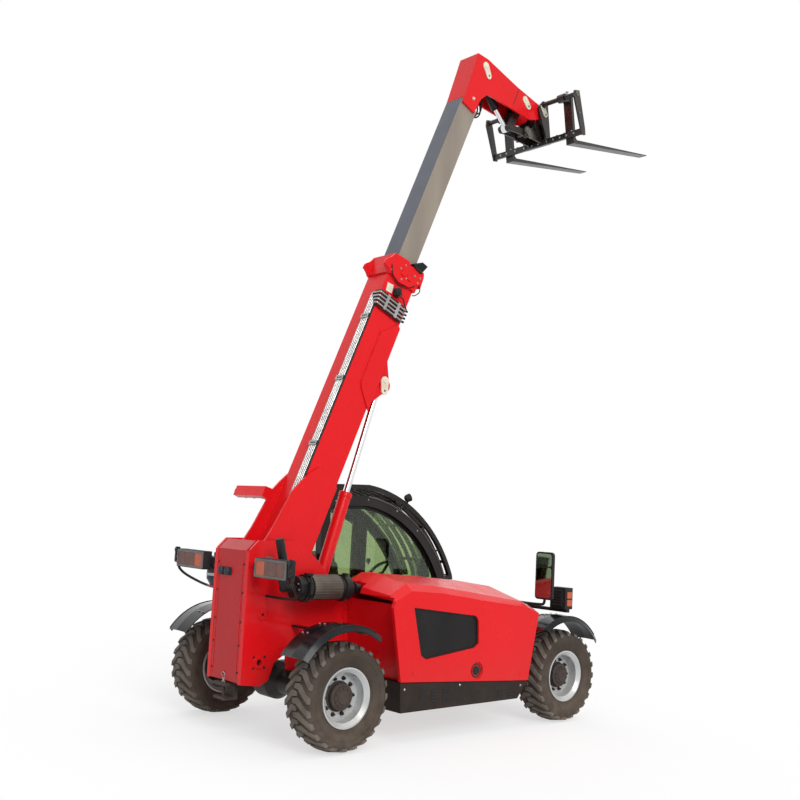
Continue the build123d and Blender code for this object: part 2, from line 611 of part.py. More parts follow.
PIPE_R = 9.0
PIPE_ROWS = [-122.0, -98.0, -74.0, -50.0]
WRAP_START = 2565.0
WRAP_STEP = 38.0
with BuildPart() as boom_pipes:
    for index, pipe_y in enumerate(PIPE_ROWS):
        down = WRAP_START + index * WRAP_STEP
        corners = [(300, -84, pipe_y), (down, -84, pipe_y), (down, -84, -168),
                   (down, -405, -168)]
        with BuildLine() as route:
            FilletPolyline(*[BOOM.from_local_coords((s, n, -y)) for s, n, y in corners],
                           radius=16)
        with BuildSketch(Plane(origin=route.line @ 0, z_dir=route.line % 0)) as ring:
            Circle(PIPE_R)
        sweep(ring.sketch, path=route.line)
    for clamp in (450, 1100, 1750, 2400):
        slab(BOOM, -138, -34, [(clamp, -101), (clamp + 45, -101), (clamp + 45, -70),
                               (clamp, -70)])
    for clamp in (-200, -340):
        slab(BOOM, -180, -OUTER_HALF, [(WRAP_START - 20, clamp), (2700, clamp),
                                       (2700, clamp + 30), (WRAP_START - 20, clamp + 30)])
save(boom_pipes, "boom_pipes")

with BuildPart() as lift_barrel:
    slab(LIFT, -56, 56, [(0, -40), (80, -40), (80, 40), (0, 40)])
    disc(LIFT, -56, 56, (0, 0), 58)
    with Locations(Plane(LIFT.origin + LIFT.x_dir * 55, z_dir=LIFT.x_dir)):
        Cylinder(LIFT_BARREL_R, LIFT_BARREL_END - 55,
                 align=(Align.CENTER, Align.CENTER, Align.MIN))
    with Locations(Plane(LIFT.origin + LIFT.x_dir * 90, z_dir=LIFT.x_dir)):
        Cylinder(LIFT_ROD_R + 1, LIFT_BARREL_END, mode=Mode.SUBTRACT,
                 align=(Align.CENTER, Align.CENTER, Align.MIN))
    disc(LIFT, -60, 60, (0, 0), 25, Mode.SUBTRACT)
save(lift_barrel, "lift_barrel")

LIFT_ROD_START = 1060.0
with BuildPart() as lift_rod:
    with Locations(Plane(LIFT.origin + LIFT.x_dir * LIFT_ROD_START, z_dir=LIFT.x_dir)):
        Cylinder(LIFT_ROD_R, LIFT_LENGTH - LIFT_ROD_START,
                 align=(Align.CENTER, Align.CENTER, Align.MIN))
    disc(LIFT, -52, 52, (LIFT_LENGTH, 0), 60)
save(lift_rod, "lift_rod")

with BuildPart() as boom_inner:
    boom_tube(INNER_HALF, INNER_BOX, INNER_WALL, INNER_START, 5060)
save(boom_inner, "boom_inner")

HEAD = [(5013, -351), (5013, -171), (5615, -125), (5656, -267), (5696, -752), (5745, -1080),
        (5772, -1170), (5705, -1219), (5640, -1190), (5575, -1146), (5506, -1055),
        (5362, -563), (5314, -422), (5195, -364), (5035, -351)]
HEAD_WEB = [(5080, -166), (5615, -125), (5656, -267), (5696, -752), (5731, -1010),
            (5717, -1012), (5682, -753), (5642, -270), (5605, -140), (5080, -181)]
with BuildPart() as boom_head:
    both_slabs(BOOM, INNER_HALF, HEAD_HALF, HEAD)
    slab(BOOM, -INNER_HALF, INNER_HALF, HEAD_WEB)
    both_discs(BOOM, 33, HEAD_HALF, TILT_FOOT, 24.95)
    disc(BOOM, -HEAD_HALF, HEAD_HALF, LEVER_PIN, 24.95)
    both_discs(BOOM, INNER_HALF, 139, CARRIAGE_PIN, 60)
save(boom_head, "boom_head")

TILT_BARREL = (-60.0, 458.0, 40.0)                           # start, end, radius
TILT_ROD_R = 22.0
TILT_ROD_START = TILT_LENGTH - 548.0
with BuildPart() as tilt_barrel:
    with Locations(Plane(TILT.origin + TILT.x_dir * TILT_BARREL[0], z_dir=TILT.x_dir)):
        Cylinder(TILT_BARREL[2], TILT_BARREL[1] - TILT_BARREL[0],
                 align=(Align.CENTER, Align.CENTER, Align.MIN))
    both_discs(TILT, 26, 60, (0, 0), 40)
    with Locations(Plane(TILT.origin + TILT.x_dir * -45, z_dir=TILT.x_dir)):
        Cylinder(TILT_ROD_R + 1, 600, mode=Mode.SUBTRACT,
                 align=(Align.CENTER, Align.CENTER, Align.MIN))
    both_discs(TILT, 32, 61, (0, 0), 25, Mode.SUBTRACT)
save(tilt_barrel, "tilt_barrel")

with BuildPart() as tilt_rod:
    with Locations(Plane(TILT.origin + TILT.x_dir * TILT_ROD_START, z_dir=TILT.x_dir)):
        Cylinder(TILT_ROD_R, TILT_LENGTH - TILT_ROD_START,
                 align=(Align.CENTER, Align.CENTER, Align.MIN))
    disc(TILT, -28, 28, (TILT_LENGTH, 0), 42)
save(tilt_rod, "tilt_rod")


def bar_outline(start, end, start_width, end_width):
    """Four corners of a tapered bar between two points."""
    length = math.dist(start, end)
    across = (-(end[1] - start[1]) / length, (end[0] - start[0]) / length)
    return [(start[0] + across[0] * start_width, start[1] + across[1] * start_width),
            (end[0] + across[0] * end_width, end[1] + across[1] * end_width),
            (end[0] - across[0] * end_width, end[1] - across[1] * end_width),
            (start[0] - across[0] * start_width, start[1] - across[1] * start_width)]


with BuildPart() as tilt_lever:
    both_slabs(BOOM, 36, 52, bar_outline(LEVER_PIN, TILT_EYE, 48, 40))
    both_discs(BOOM, 36, 52, TILT_EYE, 42)
    disc(BOOM, -104, 104, LEVER_PIN, 50)
    both_discs(BOOM, 36, 76, TILT_EYE, 21.95)
    disc(BOOM, -105, 105, LEVER_PIN, 25, Mode.SUBTRACT)
save(tilt_lever, "tilt_lever")

with BuildPart() as tilt_link:
    both_slabs(BOOM, 57, 71, bar_outline(TILT_EYE, LINK_PIN, 34, 34))
    both_discs(BOOM, 57, 71, TILT_EYE, 40)
    both_discs(BOOM, 57, 71, LINK_PIN, 50)
    both_discs(BOOM, 56, 72, TILT_EYE, 22, Mode.SUBTRACT)
    both_discs(BOOM, 56, 72, LINK_PIN, 34, Mode.SUBTRACT)
save(tilt_link, "tilt_link")

# ---- carriage and forks: (forward, up) from the carriage's main pin --------------------
SHAFT = (8.0, 54.0)
SHAFT_R = 25.0
link_pin = on_carriage(LINK_PIN)
CARRIAGE_EAR = [(-30, 58), (60, 80), (95, 70), (95, -361), (46, -361), (-50, -45)]
LINK_EAR = [(81, -110), (-175, -212), (-215, -285), (81, -350)]
END_PLATE = [(-30, 85), (45, 90), (95, -301), (95, -372), (40, -372), (-45, 20)]
with BuildPart() as carriage:
    both_slabs(CARRIAGE, 142, 166, CARRIAGE_EAR)
    both_discs(CARRIAGE, 142, 166, (0, 0), 62)
    both_slabs(CARRIAGE, 76, 92, LINK_EAR)
    both_discs(CARRIAGE, 76, 92, link_pin, 44)
    disc(CARRIAGE, -92, 92, link_pin, 22)
    slab(CARRIAGE, -166, 166, [(81, 55), (95, 55), (95, -361), (81, -361)])
    both_discs(CARRIAGE, 142, CARRIAGE_HALF, SHAFT, SHAFT_R)
    slab(CARRIAGE, -CARRIAGE_HALF, CARRIAGE_HALF, [(46, -361), (84, -361), (84, -301),
                                                   (46, -301)])
    both_slabs(CARRIAGE, CARRIAGE_HALF - 20, CARRIAGE_HALF, END_PLATE)
save(carriage, "carriage")

FORK = [(89, -423), (FORK_TIP, -411), (FORK_TIP, -403), (150, -383), (129, -362), (129, 75),
        (89, 75)]
FORK_HOOK = [(8, 99), (129, 99), (129, 20), (60, 20), (8, 9)]
for name, sign in (("left", 1), ("right", -1)):
    near = sign * FORK_Y - FORK_WIDTH / 2
    with BuildPart() as fork:
        slab(CARRIAGE, near, near + FORK_WIDTH, FORK)
        slab(CARRIAGE, near + 10, near + FORK_WIDTH - 10, FORK_HOOK)
        disc(CARRIAGE, near + 10, near + FORK_WIDTH - 10, SHAFT, 45)
        disc(CARRIAGE, near, near + FORK_WIDTH, SHAFT, SHAFT_R + 0.05, Mode.SUBTRACT)
    save(fork, f"fork_{name}")
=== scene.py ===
"""Looks of a compact telehandler: finishes, tread, glazing, trim, hoses and fittings.

Lengths are in millimetres, in the planes of the Side class, and MM turns them into metres.
"""
import json
import math

import bmesh
import bpy
from mathutils import Matrix, Vector


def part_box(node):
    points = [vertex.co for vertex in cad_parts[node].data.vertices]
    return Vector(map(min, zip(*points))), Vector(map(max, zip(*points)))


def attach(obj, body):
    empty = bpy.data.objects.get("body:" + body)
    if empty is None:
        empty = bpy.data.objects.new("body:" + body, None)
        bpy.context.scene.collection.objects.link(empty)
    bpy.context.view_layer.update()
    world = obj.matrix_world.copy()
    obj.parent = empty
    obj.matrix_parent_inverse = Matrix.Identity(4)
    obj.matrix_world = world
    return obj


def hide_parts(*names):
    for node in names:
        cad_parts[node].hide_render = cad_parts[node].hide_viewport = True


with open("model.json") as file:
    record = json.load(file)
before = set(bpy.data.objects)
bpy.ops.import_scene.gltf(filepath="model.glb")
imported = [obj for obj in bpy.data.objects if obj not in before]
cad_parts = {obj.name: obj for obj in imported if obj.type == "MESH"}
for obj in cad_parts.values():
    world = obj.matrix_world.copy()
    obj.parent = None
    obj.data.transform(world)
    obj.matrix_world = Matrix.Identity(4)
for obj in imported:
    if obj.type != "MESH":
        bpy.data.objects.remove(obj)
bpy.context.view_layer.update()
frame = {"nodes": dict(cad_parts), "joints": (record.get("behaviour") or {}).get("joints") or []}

MM = 0.001
nodes = frame["nodes"]
joints = {joint["name"]: joint for joint in frame["joints"]}


# ---- places, all from the frame -------------------------------------------------------
class Side:
    """Plane of side outlines: along runs forward, above runs up, across runs to the left."""

    def __init__(self, origin, direction):
        self.origin = Vector(origin)
        self.along = Vector(direction).normalized()
        self.above = Vector((-self.along.z, 0, self.along.x))
        self.across = Vector((0, 1, 0))

    def at(self, along, above, across=0.0):
        return (self.origin + self.along * along * MM + self.above * above * MM
                + self.across * across * MM)


def middle(name):
    low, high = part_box(name)
    return (low + high) / 2


rear_axle = middle("rim_rl")
WHEELBASE = (middle("rim_fl").x - rear_axle.x) / MM
AXLE_Z = rear_axle.z / MM
SIDE = Side((rear_axle.x, 0, 0), (1, 0, 0))
BOOM = Side(joints["boom_lift"]["pos_m"], joints["boom_extend"]["axis"])
LIFT = Side(joints["lift_barrel_pivot"]["pos_m"], joints["lift_rod_slide"]["axis"])
TILT = Side(joints["tilt_barrel_pivot"]["pos_m"], joints["tilt_rod_slide"]["axis"])
FORK_TILT = math.radians(9.4)
CARRIAGE = Side(joints["carriage_tilt"]["pos_m"], (math.cos(FORK_TILT), 0, math.sin(FORK_TILT)))
CORNERS = {"fl": (WHEELBASE, 1), "fr": (WHEELBASE, -1), "rl": (0.0, 1), "rr": (0.0, -1)}
BOTH = RIGHT, LEFT = -1, 1
CHASSIS, OUTER, INNER = "chassis", "boom_outer", "boom_inner"
AHEAD = Vector((1, 0, 0))
BACK = -AHEAD
UP = Vector((0, 0, 1))


def outward(hand):
    """Direction away from the machine on its right or left."""
    return Vector((0, hand, 0))


# ---- shader nodes -----------------------------------------------------------------------
def feed(tree, sockets, values):
    """Sets sockets to values, or links them to outputs. Colours come without their alpha."""
    for name, value in values.items():
        if isinstance(value, bpy.types.NodeSocket):
            tree.links.new(value, sockets[name])
        else:
            sockets[name].default_value = (*value, 1) if sockets[name].type == "RGBA" else value


def node(tree, kind, output, inputs=None, **settings):
    """Adds a shader node and gives one of its outputs."""
    made = tree.nodes.new("ShaderNode" + kind)
    for name, value in settings.items():
        setattr(made, name, value)
    feed(tree, made.inputs, inputs or {})
    return made.outputs[output]


def position(tree):
    """Where a point is on its object."""
    return node(tree, "TexCoord", "Object")


def product(tree, first, second):
    return node(tree, "Math", "Value", {0: first, 1: second}, operation="MULTIPLY")


def noise(tree, scale, detail=3.0, stretch=(1, 1, 1)):
    stretched = node(tree, "Mapping", "Vector", {"Scale": stretch, "Vector": position(tree)})
    return node(tree, "TexNoise", "Fac", {"Scale": scale, "Detail": detail, "Roughness": 0.55,
                                          "Vector": stretched})


def ranged(tree, value, low, high, start=0.35, end=0.65, **settings):
    """Turns what lies from start to end into what lies from low to high."""
    return node(tree, "MapRange", "Result", {"Value": value, "From Min": start, "From Max": end,
                                             "To Min": low, "To Max": high}, **settings)


def mixed(tree, factor, first, second, kind="RGBA"):
    return node(tree, "Mix", "Result", {"Factor": factor, "A": first, "B": second}, data_type=kind)


def blend_shaders(tree, factor, first, second):
    """Sends a mix of two shaders to the material's output."""
    mix = node(tree, "MixShader", "Shader", {"Fac": factor, 1: first, 2: second})
    feed(tree, tree.nodes["Material Output"].inputs, {"Surface": mix})


def seen_directly(tree):
    """Output that is 1 for camera, glossy and transmission rays."""
    path = tree.nodes.new("ShaderNodeLightPath").outputs
    total = path["Is Camera Ray"]
    for kind in ("Is Glossy Ray", "Is Transmission Ray"):
        total = node(tree, "Math", "Value", {0: total, 1: path[kind]}, operation="MAXIMUM")
    return total


def new_material(name):
    material = bpy.data.materials.new(name)
    material.use_nodes = True
    return material, material.node_tree, material.node_tree.nodes["Principled BSDF"]


# ---- camera, floor and light ----------------------------------------------------------
CAMERA_PLACE = (-7.0196, -7.1402, 1.8297)
CAMERA_YAW = math.radians(48.44)
CAMERA_PITCH = math.radians(6.42)
CAMERA_ROLL = math.radians(3.01)
CAMERA_LENS = 45.79
FLOOR_SIZE = 400.0
WORLD_FILL = 0.5
# name, direction the light comes from, strength, softness in degrees
SUNS = [("key", (-0.28, -0.86, 0.55), 2.0, 30), ("sky", (0.15, -0.1, 1.0), 0.9, 70),
        ("far_fill", (0.2, 0.9, 0.45), 0.5, 60)]


def make_camera():
    forward = Vector((math.cos(CAMERA_PITCH) * math.cos(CAMERA_YAW),
                      math.cos(CAMERA_PITCH) * math.sin(CAMERA_YAW), math.sin(CAMERA_PITCH)))
    level = Vector((math.sin(CAMERA_YAW), -math.cos(CAMERA_YAW), 0))
    right = level * math.cos(CAMERA_ROLL) + level.cross(forward) * math.sin(CAMERA_ROLL)
    data = bpy.data.cameras.new("camera")
    data.lens = CAMERA_LENS
    data.sensor_width = 36
    data.clip_end = 1000
    camera = bpy.data.objects.new("camera", data)
    bpy.context.scene.collection.objects.link(camera)
    columns = (right, right.cross(forward), -forward, Vector(CAMERA_PLACE))
    camera.matrix_world = Matrix([[column[row] for column in columns] for row in range(3)]
                                 + [(0, 0, 0, 1)])
    bpy.context.scene.camera = camera


def make_world():
    world = bpy.data.worlds.new("studio")
    bpy.context.scene.world = world
    world.use_nodes = True
    tree = world.node_tree
    feed(tree, tree.nodes["Background"].inputs, {
        "Color": (1, 1, 1), "Strength": ranged(tree, seen_directly(tree), WORLD_FILL, 1, 0, 1)})


def make_floor():
    """A pale floor that keeps the shadow near the machine and runs out to plain white."""
    bpy.ops.mesh.primitive_plane_add(size=FLOOR_SIZE, location=(0, 0, -0.0005))
    floor = bpy.context.object
    floor.name = "floor"
    material, tree, diffuse = new_material("pale_floor")
    feed(tree, diffuse.inputs, {"Base Color": (0.86, 0.86, 0.86), "Roughness": 1,
                                "Specular IOR Level": 0})
    white = node(tree, "Emission", "Emission", {"Color": (1, 1, 1)})
    distance = node(tree, "VectorMath", "Value", {0: position(tree)}, operation="LENGTH")
    fade = ranged(tree, distance, 0.62, 1, 2, 9, interpolation_type="SMOOTHSTEP")
    blend_shaders(tree, product(tree, fade, seen_directly(tree)), diffuse.outputs["BSDF"], white)
    floor.data.materials.append(material)


def make_lights():
    for name, source, strength, softness in SUNS:
        data = bpy.data.lights.new(name, "SUN")
        data.energy = strength
        data.angle = math.radians(softness)
        lamp = bpy.data.objects.new(name, data)
        lamp.rotation_mode = "QUATERNION"
        lamp.rotation_quaternion = Vector(source).to_track_quat("Z", "Y")
        bpy.context.scene.collection.objects.link(lamp)


bpy.context.scene.view_settings.view_transform = "Standard"
make_camera()
make_world()
make_floor()
make_lights()


def finish(name, base, worn, roughness, patch, grain, bump, edge, metallic=0, coat=0,
           specular=0.2, stretch=(1, 1, 1), dust=None, dust_top=700):
    """Colour between base and worn in patches, a grain that stands up by bump, edges rounded
    by as many millimetres, and dust from the floor up to a height."""
    material, tree, shader = new_material(name)
    colour = mixed(tree, ranged(tree, noise(tree, patch, stretch=stretch), 0, 1), base, worn)
    rough = ranged(tree, noise(tree, patch * 4, 5, stretch), roughness * 0.85, min(1, roughness * 1.2))
    if dust:
        height = node(tree, "SeparateXYZ", "Z", {"Vector": position(tree)})
        dusty = product(tree, ranged(tree, height, 0.75, 0, 0, dust_top * MM),
                        ranged(tree, noise(tree, 9, 6), 0.1, 1, 0.3, 0.75))
        colour = mixed(tree, dusty, colour, dust)
        rough = mixed(tree, dusty, rough, 0.9, "FLOAT")
    relief = node(tree, "Bump", "Normal", {
        "Strength": bump, "Distance": 0.002, "Height": noise(tree, grain, 2, stretch),
        "Normal": node(tree, "Bevel", "Normal", {"Radius": edge * MM}, samples=4)})
    feed(tree, shader.inputs, {
        "Metallic": metallic, "Coat Weight": coat, "Coat Roughness": 0.06, "Normal": relief,
        "Specular IOR Level": specular, "Base Color": colour, "Roughness": rough})
    return material


def glass(name, tint):
    """Tinted pane that lets light through to what is behind it."""
    material, tree, shader = new_material(name)
    tone = ranged(tree, noise(tree, 1.2), 0, 1)
    darker = [0.93 * channel for channel in tint]
    feed(tree, shader.inputs, {"Roughness": 0.02, "Transmission Weight": 1, "IOR": 1.45,
                               "Base Color": mixed(tree, tone, tint, darker)})
    clear = node(tree, "BsdfTransparent", "BSDF", {"Color": tint})
    blend_shaders(tree, node(tree, "LightPath", "Is Shadow Ray"), shader.outputs["BSDF"], clear)
    return material


# name, colour, worn colour, roughness, patches, grain, bump, edge, and what is special
red = finish("gloss_red", (0.66, 0.006, 0.01), (0.61, 0.006, 0.009), 0.3, 1.3, 260,
             0.02, 5, coat=0.1, dust=(0.42, 0.05, 0.04), specular=0.15)
# same red paint as gloss_red, darkened as painted shade for the rear-facing tower panel
red_painted_shade = finish("red_painted_shade", (0.42, 0.008, 0.012), (0.38, 0.007, 0.011), 0.3, 1.3,
                   260, 0.02, 5, coat=0.1, dust=(0.42, 0.05, 0.04), specular=0.15)
black_paint = finish("satin_black", (0.008, 0.007, 0.007), (0.014, 0.012, 0.012),
                     0.4, 4, 500, 0.08, 2, dust=(0.07, 0.058, 0.048), specular=0.25)
sill_paint = finish("sill_brown_black", (0.01, 0.006, 0.005), (0.016, 0.01, 0.008),
                    0.5, 3, 700, 0.1, 3, dust=(0.05, 0.038, 0.03))
cab_black = finish("cab_black", (0.01, 0.008, 0.007), (0.016, 0.013, 0.012), 0.33, 4,
                   400, 0.05, 3, coat=0.1)
plastic = finish("gloss_black_plastic", (0.004, 0.005, 0.006),
                 (0.007, 0.008, 0.01), 0.2, 5, 350, 0.03, 3, coat=0.05,
                 dust=(0.05, 0.047, 0.043), dust_top=900)
matte_plastic = finish("grained_plastic", (0.014, 0.014, 0.016),
                       (0.022, 0.021, 0.022), 0.62, 6, 900, 0.25, 3)
rubber = finish("tyre_rubber", (0.043, 0.032, 0.025), (0.06, 0.046, 0.037), 0.75, 7,
                420, 0.22, 2, dust=(0.15, 0.12, 0.095), specular=0.15)
lug_rubber = finish("lug_rubber", (0.085, 0.072, 0.062), (0.125, 0.108, 0.094), 0.7,
                    9, 420, 0.22, 2, dust=(0.2, 0.165, 0.135))
hose_rubber = finish("hose_rubber", (0.008, 0.008, 0.009), (0.014, 0.013, 0.013),
                     0.45, 9, 1200, 0.1, 0.5)
rim_paint = finish("rim_silver", (0.52, 0.53, 0.53), (0.42, 0.43, 0.43), 0.34, 5, 700,
                   0.04, 2, metallic=0.35, dust=(0.36, 0.31, 0.25), dust_top=420)
hub_paint = finish("hub_brown_black", (0.03, 0.022, 0.019), (0.045, 0.034, 0.029),
                   0.5, 7, 500, 0.12, 2, dust=(0.12, 0.09, 0.07))
boom_steel = finish("inner_boom", (0.31, 0.262, 0.215), (0.235, 0.2, 0.165), 0.34, 3,
                    120, 0.05, 5, metallic=0.25, stretch=(1, 1, 0.18))
chrome = finish("chrome", (0.8, 0.81, 0.82), (0.72, 0.73, 0.74), 0.08, 6, 900, 0.01,
                0.5, metallic=1)
zinc = finish("zinc_pipe", (0.42, 0.41, 0.4), (0.31, 0.3, 0.29), 0.25, 9, 700, 0.04,
              0.5, metallic=0.85)
cream = finish("pin_plate", (0.72, 0.68, 0.54), (0.6, 0.55, 0.43), 0.42, 14, 900, 0.06,
               1.5, metallic=0.15)
pin_grey = finish("pin_plate_grey", (0.17, 0.17, 0.14), (0.11, 0.11, 0.09), 0.4, 14,
                  900, 0.08, 1.5, metallic=0.5)
cast = finish("cast_grey", (0.075, 0.075, 0.075), (0.11, 0.105, 0.1), 0.6, 6, 260,
              0.35, 4, dust=(0.3, 0.25, 0.2), dust_top=500)
vinyl = finish("seat_vinyl", (0.016, 0.016, 0.018), (0.025, 0.025, 0.026), 0.5, 5,
               1500, 0.2, 2, specular=0.4)
fork_black = finish("fork_black", (0.01, 0.008, 0.007), (0.02, 0.016, 0.013), 0.3, 6,
                    350, 0.08, 3, coat=0.1, specular=0.5)
lens_red = finish("smoked_lens", (0.16, 0.055, 0.04), (0.1, 0.042, 0.034), 0.18, 16,
                  300, 0.06, 1, coat=0.4)
lens_orange = finish("orange_lens", (0.5, 0.1, 0.035), (0.42, 0.07, 0.025), 0.2, 16,
                     300, 0.06, 1, coat=0.4)
lens_white = finish("lamp_glass", (0.4, 0.42, 0.44), (0.31, 0.33, 0.35), 0.12, 16, 180,
                    0.25, 1, metallic=0.5, coat=0.8)
bezel_grey = finish("bezel_grey", (0.085, 0.08, 0.078), (0.12, 0.112, 0.108), 0.4, 9,
                    600, 0.08, 2, specular=0.35)
slate = finish("blue_black_can", (0.022, 0.032, 0.044), (0.034, 0.046, 0.06), 0.4,
               6, 400, 0.06, 3, coat=0.1)
mirror_glass = finish("mirror", (0.34, 0.37, 0.34), (0.28, 0.3, 0.28), 0.04, 3, 60, 0,
                      0.5, metallic=1)
shroud_steel = finish("heat_shroud", (0.085, 0.07, 0.058), (0.13, 0.108, 0.09), 0.34,
                      7, 500, 0.06, 2, metallic=0.6)
cab_glass = glass("cab_green_glass", (0.5, 0.6, 0.38))

INNER_TOP = -154.0          # just under the inner boom's top face, over its foot pin


def paint_inner_top_reflection():
    """Paints the inner boom's top face, which faces the sky, a darker blue-grey: a painted reflection on
    the same steel paint.
    """
    tree = boom_steel.node_tree
    colour = tree.nodes["Principled BSDF"].inputs["Base Color"]
    height = node(tree, "VectorMath", "Value", {0: position(tree), 1: BOOM.above},
                  operation="DOT_PRODUCT")
    edge = BOOM.origin.dot(BOOM.above) + INNER_TOP * MM
    share = ranged(tree, height, 0, 1, edge - 2 * MM, edge)
    # the painted reflection's blue-grey, mixed in over the top face
    tree.links.new(mixed(tree, share, colour.links[0].from_socket, (0.085, 0.092, 0.115)), colour)


paint_inner_top_reflection()

NODES_OF = [
    (red, "chassis side_plates engine_deck nose_cowl hood boom_outer boom_head lift_barrel"),
    (red_painted_shade, "tower_panel"), (hub_paint, "tow_hitch"), (plastic, "fenders"),
    (black_paint, "counterweight axles exhaust hood_mesh tilt_barrel"), (cast, "engine_block"),
    (sill_paint, "sill_right step_tank"), (matte_plastic, "lamps steering_console mirrors"),
    (cab_black, "cab_frame roof_guard cab_door"), (cab_glass, "cab_glass door_glass"),
    (chrome, "steer_rod_front steer_rod_rear lift_rod tilt_rod"), (vinyl, "seat"),
    (zinc, "boom_pipes"), (boom_steel, "boom_inner"),
    (fork_black, "tilt_lever tilt_link carriage fork_left fork_right")]
for corner in CORNERS:
    NODES_OF += [(black_paint, "knuckle_" + corner), (rim_paint, "rim_" + corner),
                 (rubber, "tyre_" + corner)]
for material, names in NODES_OF:
    for name in names.split():
        nodes[name].data.materials.clear()
        nodes[name].data.materials.append(material)


# ---- mesh pieces ----------------------------------------------------------------------
def curve_points(corners, steps=8):
    """Smooth line through the middle of each run and near each corner."""
    corners = [Vector(corner) for corner in corners]
    points = [corners[0]]
    for before, corner, after in zip(corners, corners[1:], corners[2:]):
        start, end = (before + corner) / 2, (corner + after) / 2
        for t in (step / steps for step in range(steps + 1)):
            points.append(start * (1 - t) ** 2 + corner * 2 * t * (1 - t) + end * t ** 2)
    return [*points, corners[-1]]


class Piece:
    """A mesh built from closed forms, each added by one call. A place is a point, or a tuple
    of along, above and across in the piece's plane."""

    def __init__(self, name, plane=SIDE):
        self.name = name
        self.plane = plane
        self.mesh = bmesh.new()

    def point(self, place):
        return self.plane.at(*place) if isinstance(place, tuple) else place

    def skin(self, rings, looped=False):
        """Walls between rings of points, with both ends capped or joined round."""
        rings = [[self.mesh.verts.new(point) for point in ring] for ring in rings]
        for lower, upper in zip(rings, rings[1:] + rings[:looped]):
            for i, corner in enumerate(lower):
                following = (i + 1) % len(lower)
                self.mesh.faces.new((corner, lower[following], upper[following], upper[i]))
        if not looped:
            self.mesh.faces.new(rings[0])
            self.mesh.faces.new(rings[-1])
        return self

    def prism(self, low, high, points):
        """Side outline from across = low to across = high."""
        return self.skin([[self.plane.at(a, b, y) for a, b in points] for y in (low, high)])

    def pair(self, near, far, points):
        """The same prism on the right and on the left."""
        for hand in BOTH:
            self.prism(*sorted((hand * near, hand * far)), points)
        return self

    def box(self, low, high):
        """Box between two corners (along, above, across)."""
        outline = [(low[0], low[1]), (high[0], low[1]), (high[0], high[1]), (low[0], high[1])]
        return self.prism(low[2], high[2], outline)

    def slab(self, origin, low, high, points):
        """Outline as seen from behind the machine, from low to high towards the eye."""
        return self.skin([[self.point(origin) + (outward(RIGHT) * a + UP * b + BACK * h) * MM
                           for a, b in points] for h in (low, high)])

    def band(self, low, high, outer, inner):
        """Flat frame between two side outlines with as many points."""
        return self.skin([[self.plane.at(a, b, y) for a, b in outline] for outline, y in (
            (outer, low), (outer, high), (inner, high), (inner, low))], looped=True)

    def lathe(self, origin, axis, profile, segments=40, looped=False):
        """Turned form from (radius, along the axis) points, in millimetres."""
        origin = self.point(origin)
        axis = Vector(axis).normalized()
        across = axis.orthogonal().normalized()
        third = axis.cross(across)
        turns = [2 * math.pi * i / segments for i in range(segments)]
        return self.skin([[origin + (axis * height + (across * math.cos(turn)
                                                      + third * math.sin(turn)) * radius) * MM
                           for turn in turns] for radius, height in profile], looped)

    def rod(self, start, end, radius, segments, r):
        """Round bar between two points, its ends chamfered by r."""
        start, end = self.point(start), self.point(end)
        length = (end - start).length / MM
        return self.lathe(start, end - start, [(radius - r, 0), (radius, r), (radius, length - r),
                                               (radius - r, length)], segments)

    def bolt(self, place, out, size):
        """Hexagon head on a washer, facing out."""
        self.lathe(place, out, [(size * 1.15, 0), (size * 1.15, size * 0.2)], 16)
        return self.lathe(place, out, [(size * 0.9, size * 0.1), (size * 0.9, size * 0.7),
                                       (size * 0.7, size * 0.85)], 6)

    def bolt_pairs(self, places, face, size):
        """Bolts at the same places on a face on the right and one on the left."""
        for hand in BOTH:
            for along, above in places:
                self.bolt((along, above, hand * face), outward(hand), size)
        return self

    def tube(self, points, radius, sides=10):
        """Round tube through places, its ends capped."""
        points = [self.point(place) for place in points]
        normal = (points[1] - points[0]).normalized().orthogonal().normalized()
        turns = [2 * math.pi * k / sides for k in range(sides)]
        rings = []
        for before, point, after in zip(points[:1] + points, points, points[1:] + points[-1:]):
            turned = (after - before).normalized()
            normal = (normal - turned * normal.dot(turned)).normalized()
            third = turned.cross(normal)
            rings.append([point + (normal * math.cos(turn) + third * math.sin(turn)) * radius * MM
                          for turn in turns])
        return self.skin(rings)

    def hose(self, corners, radius, sides=10, steps=8):
        """Bent tube that rounds its corners."""
        return self.tube(curve_points([self.point(c) for c in corners], steps), radius, sides)

    def mesh_data(self):
        """The forms as one mesh, with their faces turned outward."""
        bmesh.ops.recalc_face_normals(self.mesh, faces=self.mesh.faces)
        data = bpy.data.meshes.new(self.name)
        self.mesh.to_mesh(data)
        self.mesh.free()
        return data

    def done(self, material, body=CHASSIS, slot=None, bevel=0.0, steps=2, smooth=35.0, replaces=()):
        """Makes the object, gives it its material and rides it on a body. The slot is not used."""
        data = self.mesh_data()
        data.shade_smooth()
        data.set_sharp_from_angle(angle=math.radians(smooth))
        data.materials.append(material)
        piece = bpy.data.objects.new(self.name, data)
        bpy.context.scene.collection.objects.link(piece)
        if bevel:
            rounding = piece.modifiers.new("rounding", "BEVEL")
            rounding.width = bevel * MM
            rounding.segments = steps
            rounding.limit_method = "ANGLE"
            rounding.angle_limit = math.radians(30)
            rounding.harden_normals = True
        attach(piece, body)
        if replaces:
            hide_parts(*replaces)


def stadium(start, end, first, second, steps=14):
    """Outline of an oval plate round two centres with their own radii."""
    turn = math.atan2(end[1] - start[1], end[0] - start[0])
    points = []
    for (x, z), radius, facing in ((end, second, 0.0), (start, first, math.pi)):
        for step in range(steps + 1):
            angle = turn + facing - math.pi / 2 + math.pi * step / steps
            points.append((x + radius * math.cos(angle), z + radius * math.sin(angle)))
    return points


